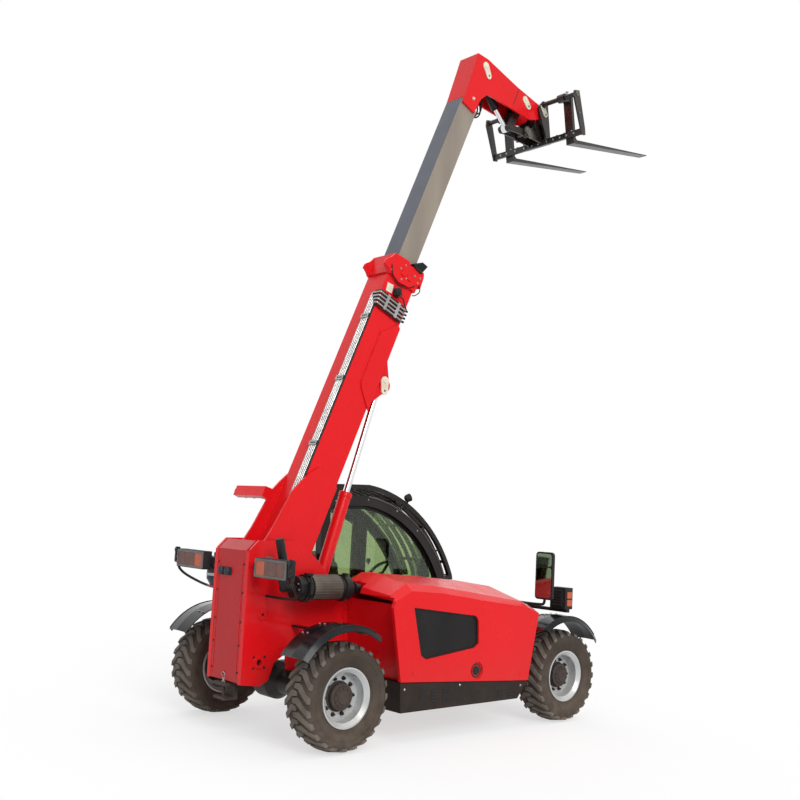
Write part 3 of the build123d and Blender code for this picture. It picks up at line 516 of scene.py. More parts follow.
def rounded(low, high, radius, steps=5):
    """Rectangle with rounded corners as a list of points."""
    points = []
    for quarter, (x, z) in enumerate(((high[0] - radius, high[1] - radius),
                                      (low[0] + radius, high[1] - radius),
                                      (low[0] + radius, low[1] + radius),
                                      (high[0] - radius, low[1] + radius))):
        for step in range(steps + 1):
            angle = math.radians(90 * (quarter + step / steps))
            points.append((x + radius * math.cos(angle), z + radius * math.sin(angle)))
    return points


# ---- wheels: carcass, hooked chevron lugs and the hub -------------------------------------
LUGS = 24                   # on each half of the tread
TREAD_R = 393.0
LUG_R = TREAD_R + 22        # at a lug's tip
CROWN = (60.0, 142.0, 20.0)  # tread falls from the first distance, by the third at the second
TREAD_MID = 857.5           # across, the middle of the tread
# turned outline of the carcass: radius, distance from the middle of the tread
CARCASS = [(231, 96), (234, 116), (243, 121), (262, 127), (296, 144), (330, 150.5),
           (352, 149), (372, 141), (384, 126), (390, 104), (392, 60), (TREAD_R, 0)]
RIBS_R = (246, 258, 318)    # fine ribs round the sidewalls
# lug outline laid flat: distance from the middle, distance round the tread
LUG = [(-17, -16), (24, -21), (46, -13), (151, 77), (152, 121), (138, 122), (28, 27), (-17, 22)]
LUG_DRAFT = 3.0             # how much wider a lug's foot is on each side
LUG_FOOT_R = 368
LUG_FACE_END = 143.0        # distance from the middle at which a lug's face ends
RIM_FACE = 868.0            # across, the outer face of the rim's disc
HUB_FACE = 905.0            # and of the flange at its middle
HUB_R = 106.0
NUT_CIRCLE = 140.0
NUTS = 10


def tread_point(axis, turn, across, radius):
    """Point of the tread: turn is round the axle, in millimetres at the lug's tips."""
    angle = turn / LUG_R
    return axis + Vector((math.sin(angle) * radius, across, math.cos(angle) * radius)) * MM


def lug_radius(distance):
    """Radius of a lug's face across the tread."""
    start, end, fall = CROWN
    return LUG_R + 0.5 - fall * (max(abs(distance) - start, 0.0) / (end - start)) ** 2


def sidewall_at(radius):
    """How far out from the tread's middle the sidewall is at a radius."""
    for (r0, y0), (r1, y1) in zip(CARCASS, CARCASS[1:]):
        if r0 <= radius <= r1:
            return y0 + (y1 - y0) * (radius - r0) / (r1 - r0)


def make_tyre(corner, axis, sign):
    carcass = Piece("tyre_carcass_" + corner)
    outline = [(r, sign * (TREAD_MID + y)) for r, y in CARCASS]
    outline += [(r, sign * (TREAD_MID - y)) for r, y in reversed(CARCASS[:-1])]
    carcass.lathe(axis, (0, 1, 0), outline, 96, looped=True)
    for rib_r in RIBS_R:
        for side in (1, -1):
            y = sign * (TREAD_MID + side * sidewall_at(rib_r))
            carcass.lathe(axis, (0, 1, 0), [(rib_r + 3, y - 1.5), (rib_r + 3, y + 1.5),
                                            (rib_r - 3, y + 1.5), (rib_r - 3, y - 1.5)], 96, looped=True)
    carcass.done(rubber, "wheel_" + corner, replaces=["tyre_" + corner])
    lugs = Piece("tyre_lugs_" + corner)
    for half in (1, -1):
        for index in range(LUGS):
            start = 2 * math.pi * LUG_R / LUGS * (index + (0.5 if half < 0 else 0))
            foot, face = [], []
            for distance, turn in LUG:
                spread = LUG_DRAFT if turn > 20 else -LUG_DRAFT
                y = sign * (TREAD_MID + half * distance)
                foot.append(tread_point(axis, start - turn - spread, y, LUG_FOOT_R))
                inner = min(distance, LUG_FACE_END)
                y = sign * (TREAD_MID + half * inner)
                face.append(tread_point(axis, start - turn, y, lug_radius(inner)))
            lugs.skin([foot, face])
    lugs.done(lug_rubber, "wheel_" + corner, bevel=3, steps=1, replaces=["tyre_" + corner])


def circle(axis, radius, shift=0.0):
    """Centres of the nuts on a circle round an axle."""
    turns = [2 * math.pi * (i + shift) / NUTS for i in range(NUTS)]
    return [axis + Vector((math.cos(turn), 0, math.sin(turn))) * radius * MM for turn in turns]


def make_hub(corner, axis, sign):
    """Dark planetary hub, wheel nuts and valve in the dish of a rim."""
    out = outward(sign)
    hub = Piece("hub_" + corner)
    hub.lathe(axis, out, [(HUB_R, RIM_FACE - 2), (HUB_R, HUB_FACE + 10), (HUB_R - 8, HUB_FACE + 18),
                          (82, HUB_FACE + 21), (80, HUB_FACE + 30), (56, HUB_FACE + 34),
                          (52, HUB_FACE + 42), (22, HUB_FACE + 44), (20, HUB_FACE + 41)], 48)
    hub.lathe(axis, out, [(118, RIM_FACE), (118, RIM_FACE + 8), (112, RIM_FACE + 12)], 48)
    for place in circle(axis, 68, 0.5):
        hub.lathe(place, out, [(8, HUB_FACE + 24), (8, HUB_FACE + 38), (6, HUB_FACE + 41)], 6)
    hub.done(hub_paint, "wheel_" + corner, bevel=1.5, steps=1)
    nuts = Piece("wheel_nuts_" + corner)
    for place in circle(axis, NUT_CIRCLE):
        face = place + out * RIM_FACE * MM
        nuts.lathe(face, out, [(17, 0), (17, 4)], 16).lathe(face, out, [(14, 2), (14, 17), (11, 20)], 6)
        nuts.lathe(face, out, [(8, 16), (8, 28), (6, 30)], 12)
    nuts.done(black_paint, "wheel_" + corner)
    foot = axis + Vector((0.6, 0, 0.8)) * 183 * MM + out * RIM_FACE * MM
    Piece("tyre_valve_" + corner).lathe(foot, out, [
        (7, 44), (7, 58), (4, 60), (4, 78), (3, 80)], 10).done(zinc, "wheel_" + corner)


for corner, (axle_x, sign) in CORNERS.items():
    make_tyre(corner, SIDE.at(axle_x, AXLE_Z), sign)
    make_hub(corner, SIDE.at(axle_x, AXLE_Z), sign)


# ---- tower and rear lamps -----------------------------------------------------------------
PANEL_X = -488.0
PANEL_BOLT_Y = 187.0
PANEL_BOLT_Z = (1370.0, 1143.0, 915.0, 731.0, 521.0)
# along, above, face, size
TOWER_BOLTS = [(-326, 977, 258, 10), (-276, 556, 250, 9), (-380, 556, 250, 9),
               (-276, 642, 250, 9), (-380, 642, 250, 9)]
SOCKET = (-11.0, 181.0, 1268.0, 1332.0)         # y from, y to, z from, z to
FRAME_FACE = 250.0
LAMP_Y = (404.0, 796.0)
LAMP_Z = (1306.0, 1418.0)
LAMP_FACE = -519.0
LENS_RIB = 7.0
# share of a lamp's width from the inner end, finish
LENSES = [(0.0, 0.3, lens_orange), (0.3, 0.72, lens_red), (0.72, 1.0, lens_red)]


def make_tower():
    bolts = Piece("tower_bolts")
    for z in PANEL_BOLT_Z:
        for hand in BOTH:
            bolts.bolt((PANEL_X, z, hand * PANEL_BOLT_Y), BACK, 8)
    for x, z, face, size in TOWER_BOLTS:
        bolts.bolt_pairs([(x, z)], face, size)
    bolts.done(black_paint)
    y0, y1, z0, z1 = SOCKET
    outline = rounded((-y1, z0), (-y0, z1), 10)
    Piece("socket_plate").slab((PANEL_X, 0), 0, 7, outline).done(matte_plastic, bevel=2)
    caps = Piece("socket_caps")
    for y in (38, 132):
        centre = SIDE.at(PANEL_X - 6, (z0 + z1) / 2, y)
        caps.lathe(centre, BACK, [(30, 0), (30, 10), (27, 13), (25, 22), (22, 24)], 28)
        caps.lathe(centre, BACK, [(10, 20), (10, 30), (8, 32)], 16)
        caps.slab(centre, 20, 29, rounded((-4, 6), (4, 34), 3))
    caps.done(slate, bevel=1)
    seam = Piece("panel_flange")
    for y in (-173, 173):
        seam.box((PANEL_X - 3, 470, y - 3), (PANEL_X, 1400, y + 3))
    seam.done(red, bevel=1.2)
    hitch = Piece("hitch_pin").lathe((-480, 420), UP, [
        (22, 4), (22, 12), (14, 16), (14, 30), (20, 34), (20, 40)], 20)
    hitch.tube([(-480, 456), (-492, 482, 30), (-492, 504), (-492, 482, -30), (-480, 458)], 4)
    hitch.done(zinc, smooth=50)


def make_rear_lamp(hand):
    word = "left" if hand == LEFT else "right"
    inner_y, outer_y = LAMP_Y
    z0, z1 = LAMP_Z
    for number, (start, end, material) in enumerate(LENSES):
        low, high = sorted(hand * (inner_y + (outer_y - inner_y) * share) for share in (start, end))
        low, high = low + 1.5, high - 1.5
        runs = 2 * int((high - low) / LENS_RIB)
        rings = []
        for i in range(runs + 1):
            y = low + (high - low) * i / runs
            front = LAMP_FACE - (3 if i % 2 else 5)
            rings.append([SIDE.at(LAMP_FACE, z0, y), SIDE.at(front, z0 + 2, y),
                          SIDE.at(front, z1 - 2, y), SIDE.at(LAMP_FACE, z1, y)])
        Piece(f"rear_lens_{word}_{number}").skin(rings).done(material, smooth=60)
    low, high = sorted((hand * inner_y, hand * outer_y))
    outer = rounded((-high - 16, z0 - 16), (-low + 16, z1 + 16), 12)
    inner = rounded((-high + 2, z0 + 2), (-low - 2, z1 - 2), 6)
    rings = [[SIDE.at(x, b, -a) for a, b in outline]
             for x, outline in ((-516, outer), (-526, outer), (-528, inner), (-520, inner))]
    Piece("rear_lamp_bezel_" + word).skin(rings, looped=True).done(bezel_grey, bevel=1.5)
    bracket = Piece("rear_lamp_bracket_" + word)
    low, high = sorted((hand * 817, hand * 872))
    bracket.slab((-508, 0), -14, 8, rounded((-high, 1318), (-low, 1452), 16))
    bracket.lathe((-505, 1425, hand * 845), BACK, [(24, 0), (24, 18), (18, 22)], 20)
    bracket.hose([(-500, 1330, hand * 848), (-470, 1240, hand * 840),
                  (-330, 1150, hand * 720), (-300, 1125, hand * 560),
                  (-300, 1125, hand * (FRAME_FACE + 1))], 11)
    for z in (1345, 1388, 1425):
        bracket.bolt((-516, z, hand * 845), BACK, 9)
    for y in (430, 640, 780):
        bracket.bolt((-440, 1410, hand * y), AHEAD, 8)
    bracket.done(black_paint, bevel=1.5, steps=1)


# ---- reservoir and silencer ---------------------------------------------------------------
TANK = (-330.0, 465.0)                          # x, y
TANK_TOP = 1386.0
SILENCER = (-450.0, 1201.0, 103.0)              # y, z, radius
GROOVES = 15                                    # along the silencer's heat shield


def make_reservoir():
    Piece("reservoir_body").lathe((TANK[0], 0, TANK[1]), UP, [
        (52, 1150), (60, 1166), (84, 1205), (84, 1352), (92, 1356), (92, 1380), (80, TANK_TOP)],
        48).done(slate, bevel=2)
    shelf = Piece("reservoir_shelf").box((-385, 1140, 245), (-275, 1150, 520))
    shelf.box((-340, 1085, 245), (-328, 1142, 420)).done(red, bevel=2)
    centre = SIDE.at(TANK[0], TANK_TOP, TANK[1])
    lid = Piece("reservoir_lid").lathe(centre, UP, [
        (80, -2), (80, 6), (60, 12), (34, 14), (34, 38), (28, 44), (10, 46)], 36)
    for i in range(6):
        turn = math.pi * i / 3 + 0.3
        lid.bolt(centre + Vector((math.cos(turn), math.sin(turn), 0.07)) * 70 * MM, UP, 6)
    lid.done(plastic, bevel=1.5)
    straps = Piece("reservoir_straps")
    for z in (1232, 1318):
        straps.lathe((TANK[0], z, TANK[1]), UP, [(86.5, 0), (86.5, 22), (84, 22), (84, 0)], looped=True)
    straps.done(zinc)


def make_silencer():
    y, z, radius = SILENCER
    rings = []
    for i in range(2 * GROOVES + 1):
        turn = math.radians(-50 + 175 * i / (2 * GROOVES))
        ridge = radius + (7.5 if i % 2 else 4.5)
        rings.append([SIDE.at(x, z + r * math.sin(turn), y - r * math.cos(turn)) for x, r in (
            (-38, radius + 1), (-38, ridge), (248, ridge), (248, radius + 1))])
    Piece("silencer_shroud").skin(rings).done(shroud_steel, smooth=25)
    clamps = Piece("silencer_clamps")
    ring = [(radius + r, h) for r, h in ((5, 0), (9, 3), (9, 15), (5, 18), (-8, 18), (-8, 0))]
    for x in (-100, -72, 292):
        clamps.lathe((x, z, y), AHEAD, ring, looped=True)
        clamps.box((x, z + radius - 4, y - 64), (x + 18, z + radius + 22, y - 30))
        head, tip = (SIDE.at(x + 9, z + radius + 12, y - reach) for reach in (84, 14))
        clamps.rod(head, tip, 6, 12, 1).bolt(head, outward(RIGHT), 10)
    clamps.rod((368, z, y), (440, z, y), 34, 24, 3)
    clamps.lathe((433, z, y), AHEAD, [(52, 0), (52, 12), (48, 15)], 24)
    for turn in map(math.radians, (-60, -20, 20, 60)):
        clamps.bolt(SIDE.at(-169, z + 82 * math.sin(turn), y - 82 * math.cos(turn)), BACK, 9)
    clamps.box((-112, z - 40, y - 140), (-88, z + 60, y - 104))
    clamps.done(black_paint, bevel=1.5, steps=1)
    nuts = Piece("silencer_nuts")
    for z, y in ((1150, -492), (1240, -505), (1196, -520)):
        nuts.lathe((-170, z, y), BACK, [(8, 0), (8, 8), (6, 10)], 6)
    nuts.done(zinc)


# ---- fenders, sills and steps -----------------------------------------------------------
FENDER_BOLT_R = 548.0
FENDER_BEAD_R = 549.0
# axle; angles from the top: where the fender is bolted to its bracket, the bead's ends
FENDERS = [(WHEELBASE, (-12, 6), (-34, 48)), (0.0, (-30, -12), (-54, 28))]
TREAD_RIBS = 6
STEP = (1000.0, 1480.0, 285.0, 770.0)           # x from, x to, z, y from
# louvres in the right sill: along, lift of the lowest, how many
SILL_VENTS = [(779, 12, 4), (909, 3, 4), (1042, -8, 4), (1719, -30, 3), (1850, -40, 3)]


def from_top(angle):
    """Direction from an axle, turned forward from the top."""
    return Vector((math.sin(math.radians(angle)), 0, math.cos(math.radians(angle))))


def make_fender_trim():
    bolts = Piece("fender_bolts")
    beads = Piece("fender_beads")
    for axle_x, bolted, (start, end) in FENDERS:
        for hand in BOTH:
            for out in map(from_top, bolted):
                for y in (735, 800):
                    radius = FENDER_BOLT_R + (y - 700) / 15
                    bolts.bolt(SIDE.at(axle_x, AXLE_Z, hand * y) + out * radius * MM, out, 8)
            axle = SIDE.at(axle_x, AXLE_Z, hand * 985)
            beads.tube([axle + from_top(start + (end - start) * step / 24) * FENDER_BEAD_R * MM
                        for step in range(25)], 4.5, 8)
    bolts.done(zinc)
    beads.done(plastic)


def make_sides():
    bolts = Piece("sill_bolts")
    for x, z in ((607, 434), (1240, 428), (2010, 372)):
        bolts.bolt((x, z, -962), outward(RIGHT), 9)
    for x, z in ((700, 372), (1300, 392), (1960, 372)):
        bolts.bolt((x, z, 965), outward(LEFT), 9)
    bolts.done(zinc)
    treads = Piece("step_treads")
    x0, x1, z, y0 = STEP
    for y in (y0 + 22 + i * 30 for i in range(TREAD_RIBS)):
        treads.box((x0 + 20, z, y), (x1 - 20, z + 7, y + 9))
    for x in (850, 905, 960, 1520, 1575):
        treads.box((x, 396, 600), (x + 12, 402, 960))
    treads.done(zinc, bevel=1.5, steps=1)
    vents = Piece("sill_louvres")
    for x, lift, rows in SILL_VENTS:
        for z in (312 + lift + row * 26 for row in range(rows)):
            vents.prism(-966, -960, [(x, z), (x + 68, z - 2), (x + 68, z + 12), (x, z + 14)])
    vents.done(matte_plastic, bevel=1.5)
    cap = Piece("fuel_filler").lathe((1820, 330, 965), outward(LEFT), [
        (46, -2), (46, 8), (38, 12), (36, 26), (30, 30), (12, 31)], 32)
    cap.box((1812, 304, 975), (1828, 356, 999)).done(matte_plastic, bevel=2)


make_tower()
for hand in BOTH:
    make_rear_lamp(hand)
make_reservoir()
make_silencer()
make_fender_trim()
make_sides()

# ---- cab ----------------------------------------------------------------------------
CAB_SWEEP = [(1150.0, 1990.0), (1864.0, 1680.0), (2210.0, 1215.0)]     # roof and windscreen arc
CAB_RIGHT = 262.0
CAB_LEFT = 970.0
CAB_WALL = 45.0
SWEEP_STEPS = 28
BELT = 842.0                # height of the windows' sill
WORK_LAMP = (1653.0, 1999.0, 246.0)
WIPER = (616, 560, 420)     # across: the spindle, the arm's bend and its end


def arc_through(a, b, c, steps):
    """Points of the arc through three points."""
    (x1, z1), (x2, z2), (x3, z3) = a, b, c
    d = 2 * (x1 * (z2 - z3) + x2 * (z3 - z1) + x3 * (z1 - z2))
    s1, s2, s3 = (x * x + z * z for x, z in (a, b, c))
    cx = (s1 * (z2 - z3) + s2 * (z3 - z1) + s3 * (z1 - z2)) / d
    cz = (s1 * (x3 - x2) + s2 * (x1 - x3) + s3 * (x2 - x1)) / d
    start, end = math.atan2(z1 - cz, x1 - cx), math.atan2(z3 - cz, x3 - cx)
    radius = math.hypot(x1 - cx, z1 - cz)
    turns = [start + (end - start) * i / steps for i in range(steps + 1)]
    return [(cx + radius * math.cos(turn), cz + radius * math.sin(turn)) for turn in turns]


def inset(points, amount):
    """Clockwise outline moved in by the same amount on every edge."""
    points = [Vector(point) for point in points]
    moved = []
    for before, point, after in zip(points[-1:] + points[:-1], points, points[1:] + points[:1]):
        first, second = (point - before).normalized(), (after - point).normalized()
        normal = Vector((first.y + second.y, -first.x - second.x)).normalized()
        reach = amount / max(0.3, normal.dot(Vector((first.y, -first.x))))
        moved.append(tuple(point + normal * reach))
    return moved


def window_outline(amount, sill=BELT):
    """Cab side outline above a sill, moved in by an amount."""
    outline = [(700, 1975), *arc_through(*CAB_SWEEP, SWEEP_STEPS), (2232, 1000),
               (2232 - (1000 - sill) * 0.88, sill), (624, sill), (610, 1890)]
    return inset(outline, amount)


def sweep(amount, across):
    """Line along the roof and the windscreen, moved in by an amount."""
    return [SIDE.at(x, z, across) for x, z in window_outline(amount)[1:SWEEP_STEPS + 2]]


def make_cab_windows():
    Piece("glass_frit_right").band(304.5, 306.5, window_outline(90, 810),
                                   window_outline(126, 802)).done(plastic)
    Piece("glass_seal_right").band(299, 307, window_outline(93, 806),
                                   window_outline(105, 806)).done(hose_rubber, bevel=2)
    Piece("cab_edge_strip").tube(sweep(7, CAB_RIGHT - 2), 5.5, 8).done(
        bezel_grey, slot="cab_black")
    joint = Piece("cab_roof_joint").tube(sweep(-2, CAB_RIGHT + 72), 4, 8)
    joint.tube(sweep(-2, CAB_LEFT - 72), 4, 8).done(hose_rubber, slot="cab_black")
    bolts = Piece("cab_bolts")
    for x, z in ((760, 1925), (1150, 1952), (1520, 1862), (1800, 1680), (690, 1500), (700, 1100)):
        bolts.bolt((x, z, CAB_RIGHT), outward(RIGHT), 7)
    bolts.done(zinc)


def make_cab_outside():
    centre = SIDE.at(*WORK_LAMP)
    lamp = Piece("guard_work_lamp").lathe(centre, (0.8, -0.3, 0.35), [
        (12, -46), (30, -40), (38, -20), (39, 14), (35, 18)], 28)
    lamp.rod(centre, SIDE.at(1640, 1925, 262), 8, 12, 1).done(matte_plastic, bevel=1)
    stays = Piece("guard_stays")
    for index in (9, 16, 22):
        for y in (CAB_RIGHT + 16, CAB_LEFT - 16):
            stays.rod(sweep(0, y)[index], sweep(-80, y)[index], 8, 12, 1)
    stays.done(cab_black)
    spindle, bend, tip = WIPER
    wiper = Piece("wiper")
    wiper.rod((2238, 1090, spindle), (2262, 1096, spindle), 22, 20, 2)
    wiper.tube([SIDE.at(2255, 1100, spindle), sweep(-9, bend)[25], sweep(-9, tip)[19]], 6)
    wiper.tube(sweep(-4, tip + 10)[14:26], 7, 6).done(matte_plastic)
    centre = SIDE.at(598, 1440, 330)
    Piece("cab_side_lamp").lathe(centre, UP, [(26, -70), (30, -60), (30, -8), (26, 0)], 24).done(
        lens_red, bevel=1)
    foot = Piece("cab_side_lamp_foot").lathe(centre, UP, [
        (28, -120), (32, -112), (32, -70), (28, -68)], 24)
    foot.box((585, 1310, 305), (625, 1340, 355)).done(lens_orange, bevel=1)


def make_cab_inside():
    trim = Piece("cab_lining")
    for y in (CAB_RIGHT + CAB_WALL + 14, CAB_LEFT - CAB_WALL - 14):
        trim.box((690, 515, y - 6), (1880, 872, y + 6))
    trim.box((660, 520, 330), (676, 990, 900)).done(matte_plastic, bevel=4)
    mat = Piece("floor_mat").box((1340, 516, 345), (1890, 524, 885))
    for x in range(1360, 1888, 44):
        mat.box((x, 523, 370), (x + 12, 530, 860))
    mat.done(hose_rubber, bevel=1.5, steps=1)
    Piece("dash_cluster").prism(470, 760, [
        (1955, 1010), (2050, 960), (2072, 1040), (2040, 1130), (1990, 1120)]).done(
        matte_plastic, bevel=10, steps=3)
    dials = Piece("dash_dials")
    for y in (540, 616, 692):
        dials.lathe((1985, 1068, y), (-0.9, 0, 0.43), [(30, 0), (30, 9), (26, 11), (24, 7)], 24)
    dials.done(plastic)
    arm = Piece("control_arm_rest").box((1040, 930, 345), (1400, 985, 405))
    arm.box((1050, 800, 350), (1180, 940, 400)).done(vinyl, bevel=14, steps=4)
    Piece("boom_joystick").lathe((1370, 980, 375), UP, [
        (30, 0), (26, 14), (12, 34), (8, 60), (9, 80), (20, 96), (24, 130), (20, 156), (9, 166)],
        20).done(matte_plastic)
    pedals = Piece("pedals")
    for y in (500, 620, 720):
        pedals.prism(y, y + 62, [(1800, 540), (1880, 620), (1872, 632), (1790, 552)])
        pedals.box((1862, 600, y + 24), (1900, 616, y + 38))
    pedals.done(cast, bevel=3)
    Piece("steering_knob").lathe((1560, 1330, 700), UP, [
        (8, -10), (8, 6), (20, 16), (24, 34), (18, 48), (6, 52)], 20).done(plastic)


def make_door():
    Piece("door_stay").prism(908, 928, [(1574, 1532), (1608, 1518), (1600, 1180),
                                        (1566, 1190)]).done(cab_black, "cab_door", bevel=3)
    handle = Piece("door_handle").box((1480, 940, 966), (1620, 985, 974))
    handle.hose([(1495, 962, 972), (1500, 962, 1004), (1550, 962, 1006), (1600, 962, 1004),
                 (1605, 962, 972)], 8)
    handle.lathe((1550, 948, 973), outward(LEFT), [(14, 0), (14, 6), (10, 8)], 20)
    handle.done(matte_plastic, "cab_door", bevel=2)
    arc = [(x, z) for x, z in window_outline(140) if 800 < x < 1550 and z > 1100]
    outline = [(792, arc[0][1]), *arc, (1558, arc[-1][1] - 0.6 * (1558 - arc[-1][0])),
               (1558, 1003), (792, 1003)]
    Piece("door_glass_seal").band(966, 969, outline, inset(outline, 16)).done(
        hose_rubber, "cab_door", bevel=1)


# ---- seat -------------------------------------------------------------------------------
PAD_REACH = 16.0            # how far the stuffing may push a cushion out
PAD_VOXEL = 9.0
CLOTH_FRAMES = 20
SEAT_PAD = [(918, 816), (1384, 812), (1388, 880), (1360, 898), (920, 888)]
SEAT_BOLSTER = [(930, 818), (1340, 816), (1320, 902), (1180, 908), (940, 904)]
BACK_PAD = [(916, 894), (1002, 914), (884, 1462), (800, 1440)]
BACK_BOLSTER = [(930, 900), (1020, 920), (1000, 1060), (930, 1360), (860, 1380)]


def evaluated(piece):
    """The mesh of an object with its modifiers applied."""
    return bpy.data.meshes.new_from_object(
        piece.evaluated_get(bpy.context.evaluated_depsgraph_get()))


def stuff(piece, rest_below):
    """Blows a pad up as cloth, held where it rests, and never by more than PAD_REACH."""
    scene = bpy.context.scene
    start = [vertex.co.copy() for vertex in piece.data.vertices]
    pinned = piece.vertex_groups.new(name="rests")
    pinned.add([i for i, place in enumerate(start) if place.z < rest_below * MM], 1.0, "ADD")
    cloth = piece.modifiers.new("stuffing", "CLOTH")
    cloth.settings.use_pressure = True
    cloth.settings.uniform_pressure_force = 4
    cloth.settings.effector_weights.gravity = 0
    cloth.settings.vertex_group_mass = pinned.name
    cloth.point_cache.frame_start, cloth.point_cache.frame_end = 1, CLOTH_FRAMES
    for moment in range(1, CLOTH_FRAMES + 1):
        scene.frame_set(moment)
    blown = evaluated(piece)
    for vertex, place in zip(blown.vertices, start):
        shift = vertex.co - place
        if shift.length > PAD_REACH * MM:
            vertex.co = place + shift.normalized() * PAD_REACH * MM
    piece.modifiers.clear()
    piece.data = blown
    scene.frame_set(1)


def cushion(name, forms, rest_below):
    """Stuffed vinyl pad: closed forms joined by a remesh, then blown up."""
    pad = Piece(name)
    for low, high, outline in forms:
        pad.prism(low, high, outline)
    piece = bpy.data.objects.new(name, pad.mesh_data())
    bpy.context.scene.collection.objects.link(piece)
    joined = piece.modifiers.new("joined", "REMESH")
    joined.mode = "VOXEL"
    joined.voxel_size = PAD_VOXEL * MM
    piece.data = evaluated(piece)
    piece.modifiers.clear()
    stuff(piece, rest_below)
    piece.data.shade_smooth()
    piece.data.materials.clear()
    piece.data.materials.append(vinyl)
    smoother = piece.modifiers.new("smoother", "SUBSURF")
    smoother.levels = smoother.render_levels = 1
    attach(piece, CHASSIS)
    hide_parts("seat")


def make_seat():
    cushion("seat_cushion", [(384, 846, SEAT_PAD), (382, 440, SEAT_BOLSTER),
                             (790, 848, SEAT_BOLSTER)], 822)
    cushion("seat_back", [(384, 846, BACK_PAD), (382, 436, BACK_BOLSTER), (794, 848, BACK_BOLSTER)], 0)
    stand = Piece("seat_stand").box((935, 515, 390), (1325, 700, 840))
    for i in range(5):
        stand.box((950 + i * 4, 704 + i * 18, 402), (1310 - i * 4, 718 + i * 18, 828))
    stand.box((980, 690, 450), (1280, 800, 780)).box((925, 792, 392), (1345, 812, 838))
    stand.prism(440, 790, [(888, 800), (930, 800), (930, 860), (905, 900), (812, 1380),
                           (792, 1376), (885, 880)])
    stand.done(matte_plastic, bevel=5, replaces=["seat"])


make_cab_windows()
make_cab_outside()
make_cab_inside()
make_door()
make_seat()

# ---- hood, mirrors and front lamps ------------------------------------------------------
HOOD_SIDE = -962.0
FUEL_CAP = (1443.0, 533.0)
GRILLE_FACE = HOOD_SIDE + 18
GRILLE_PITCH = 11
# the grille's outline, clockwise
GRILLE = [(775, 691), (832, 659), (1398, 727), (1451, 762), (1439, 959), (1403, 998), (673, 1082)]
MIRROR = (2420.0, 765.0, 970.0, 1112.0, 1552.0)     # x, y from, y to, z from, z to
LAMP_R = 36


def span_inside(points, level, axis):
    """Where a convex outline starts and ends on a line at a level of one axis."""
    crossings = []
    for a, b in zip(points, points[1:] + points[:1]):
        if (a[axis] - level) * (b[axis] - level) < 0:
            share = (level - a[axis]) / (b[axis] - a[axis])
            crossings.append(a[1 - axis] + (b[1 - axis] - a[1 - axis]) * share)
    return (min(crossings) + 3, max(crossings) - 3) if len(crossings) > 1 else None


def make_hood_trim():
    x, z = FUEL_CAP
    cap = Piece("fuel_cap").lathe((x, z, HOOD_SIDE), outward(RIGHT), [
        (60, -14), (60, -9), (54, -7), (50, -8), (48, -18), (40, -20), (39, -6), (34, -4), (12, -4)])
    cap.box((x - 34, z - 7, HOOD_SIDE - 1), (x + 34, z + 7, HOOD_SIDE + 8))
    cap.done(matte_plastic, "hood", bevel=2)
    bars = Piece("grille_bars")
    for z in range(668, 1078, GRILLE_PITCH):
        if ends := span_inside(GRILLE, z, 1):
            bars.box((ends[0], z, GRILLE_FACE), (ends[1], z + 2.2, GRILLE_FACE + 3))
    for x in range(682, 1448, GRILLE_PITCH):
        if ends := span_inside(GRILLE, x, 0):
            bars.box((x, ends[0], GRILLE_FACE + 0.6), (x + 2.2, ends[1], GRILLE_FACE + 3.6))
    bars.done(black_paint, "hood", "mesh_black")
    Piece("grille_frame").band(GRILLE_FACE - 5, GRILLE_FACE + 1, GRILLE, inset(GRILLE, -9)).done(
        black_paint, "hood", "mesh_black", bevel=1)
    catch = Piece("hood_catches")
    for x, z in ((700, 560), (2010, 470)):
        catch.lathe((x, z, HOOD_SIDE), outward(RIGHT), [(20, -2), (20, 1.5), (17, 3)], 28)
        catch.box((x - 10, z - 2.5, HOOD_SIDE - 4.5), (x + 10, z + 2.5, HOOD_SIDE - 1))
    catch.done(red, "hood", bevel=0.6)


def make_mirrors():
    x, near, far, low, high = MIRROR
    housing = Piece("mirror_housings")
    panes = Piece("mirror_panes")
    for hand in BOTH:
        y0, y1 = sorted((hand * near, hand * far))
        rings = []
        for depth, in_by, radius in ((-24, 0, 34), (-22, 0, 34), (6, 0, 34), (20, 16, 30), (26, 46, 26)):
            outline = rounded((y0 + in_by, low + in_by), (y1 - in_by, high - in_by), radius)
            rings.append([SIDE.at(x + depth, b, a) for a, b in outline])
        housing.skin(rings)
        post, foot = hand * 865, hand * 441
        housing.hose([(x + 4, low + 60, post), (x + 2, 1075, post), (x - 2, 1060, hand * 830),
                      (x - 2, 1060, hand * 460), (x - 2, 1058, foot), (x - 2, 1040, foot),
                      (x - 2, 790, foot)], 13, 12)
        housing.box((x - 30, 800, foot - 12), (x + 26, 880, foot + 12))
        housing.lathe((x + 20, low + 150, post), AHEAD, [(26, 0), (26, 14), (20, 20)], 20)
        for z0, z1 in ((low + 16, low + 296), (low + 308, high - 16)):
            outline = rounded((y0 + 14, z0), (y1 - 14, z1), 22)
            panes.skin([[SIDE.at(x + depth, b, a) for a, b in outline] for depth in (-26.5, -23)])
    housing.done(matte_plastic, bevel=2, replaces=["mirrors"])
    panes.done(mirror_glass)


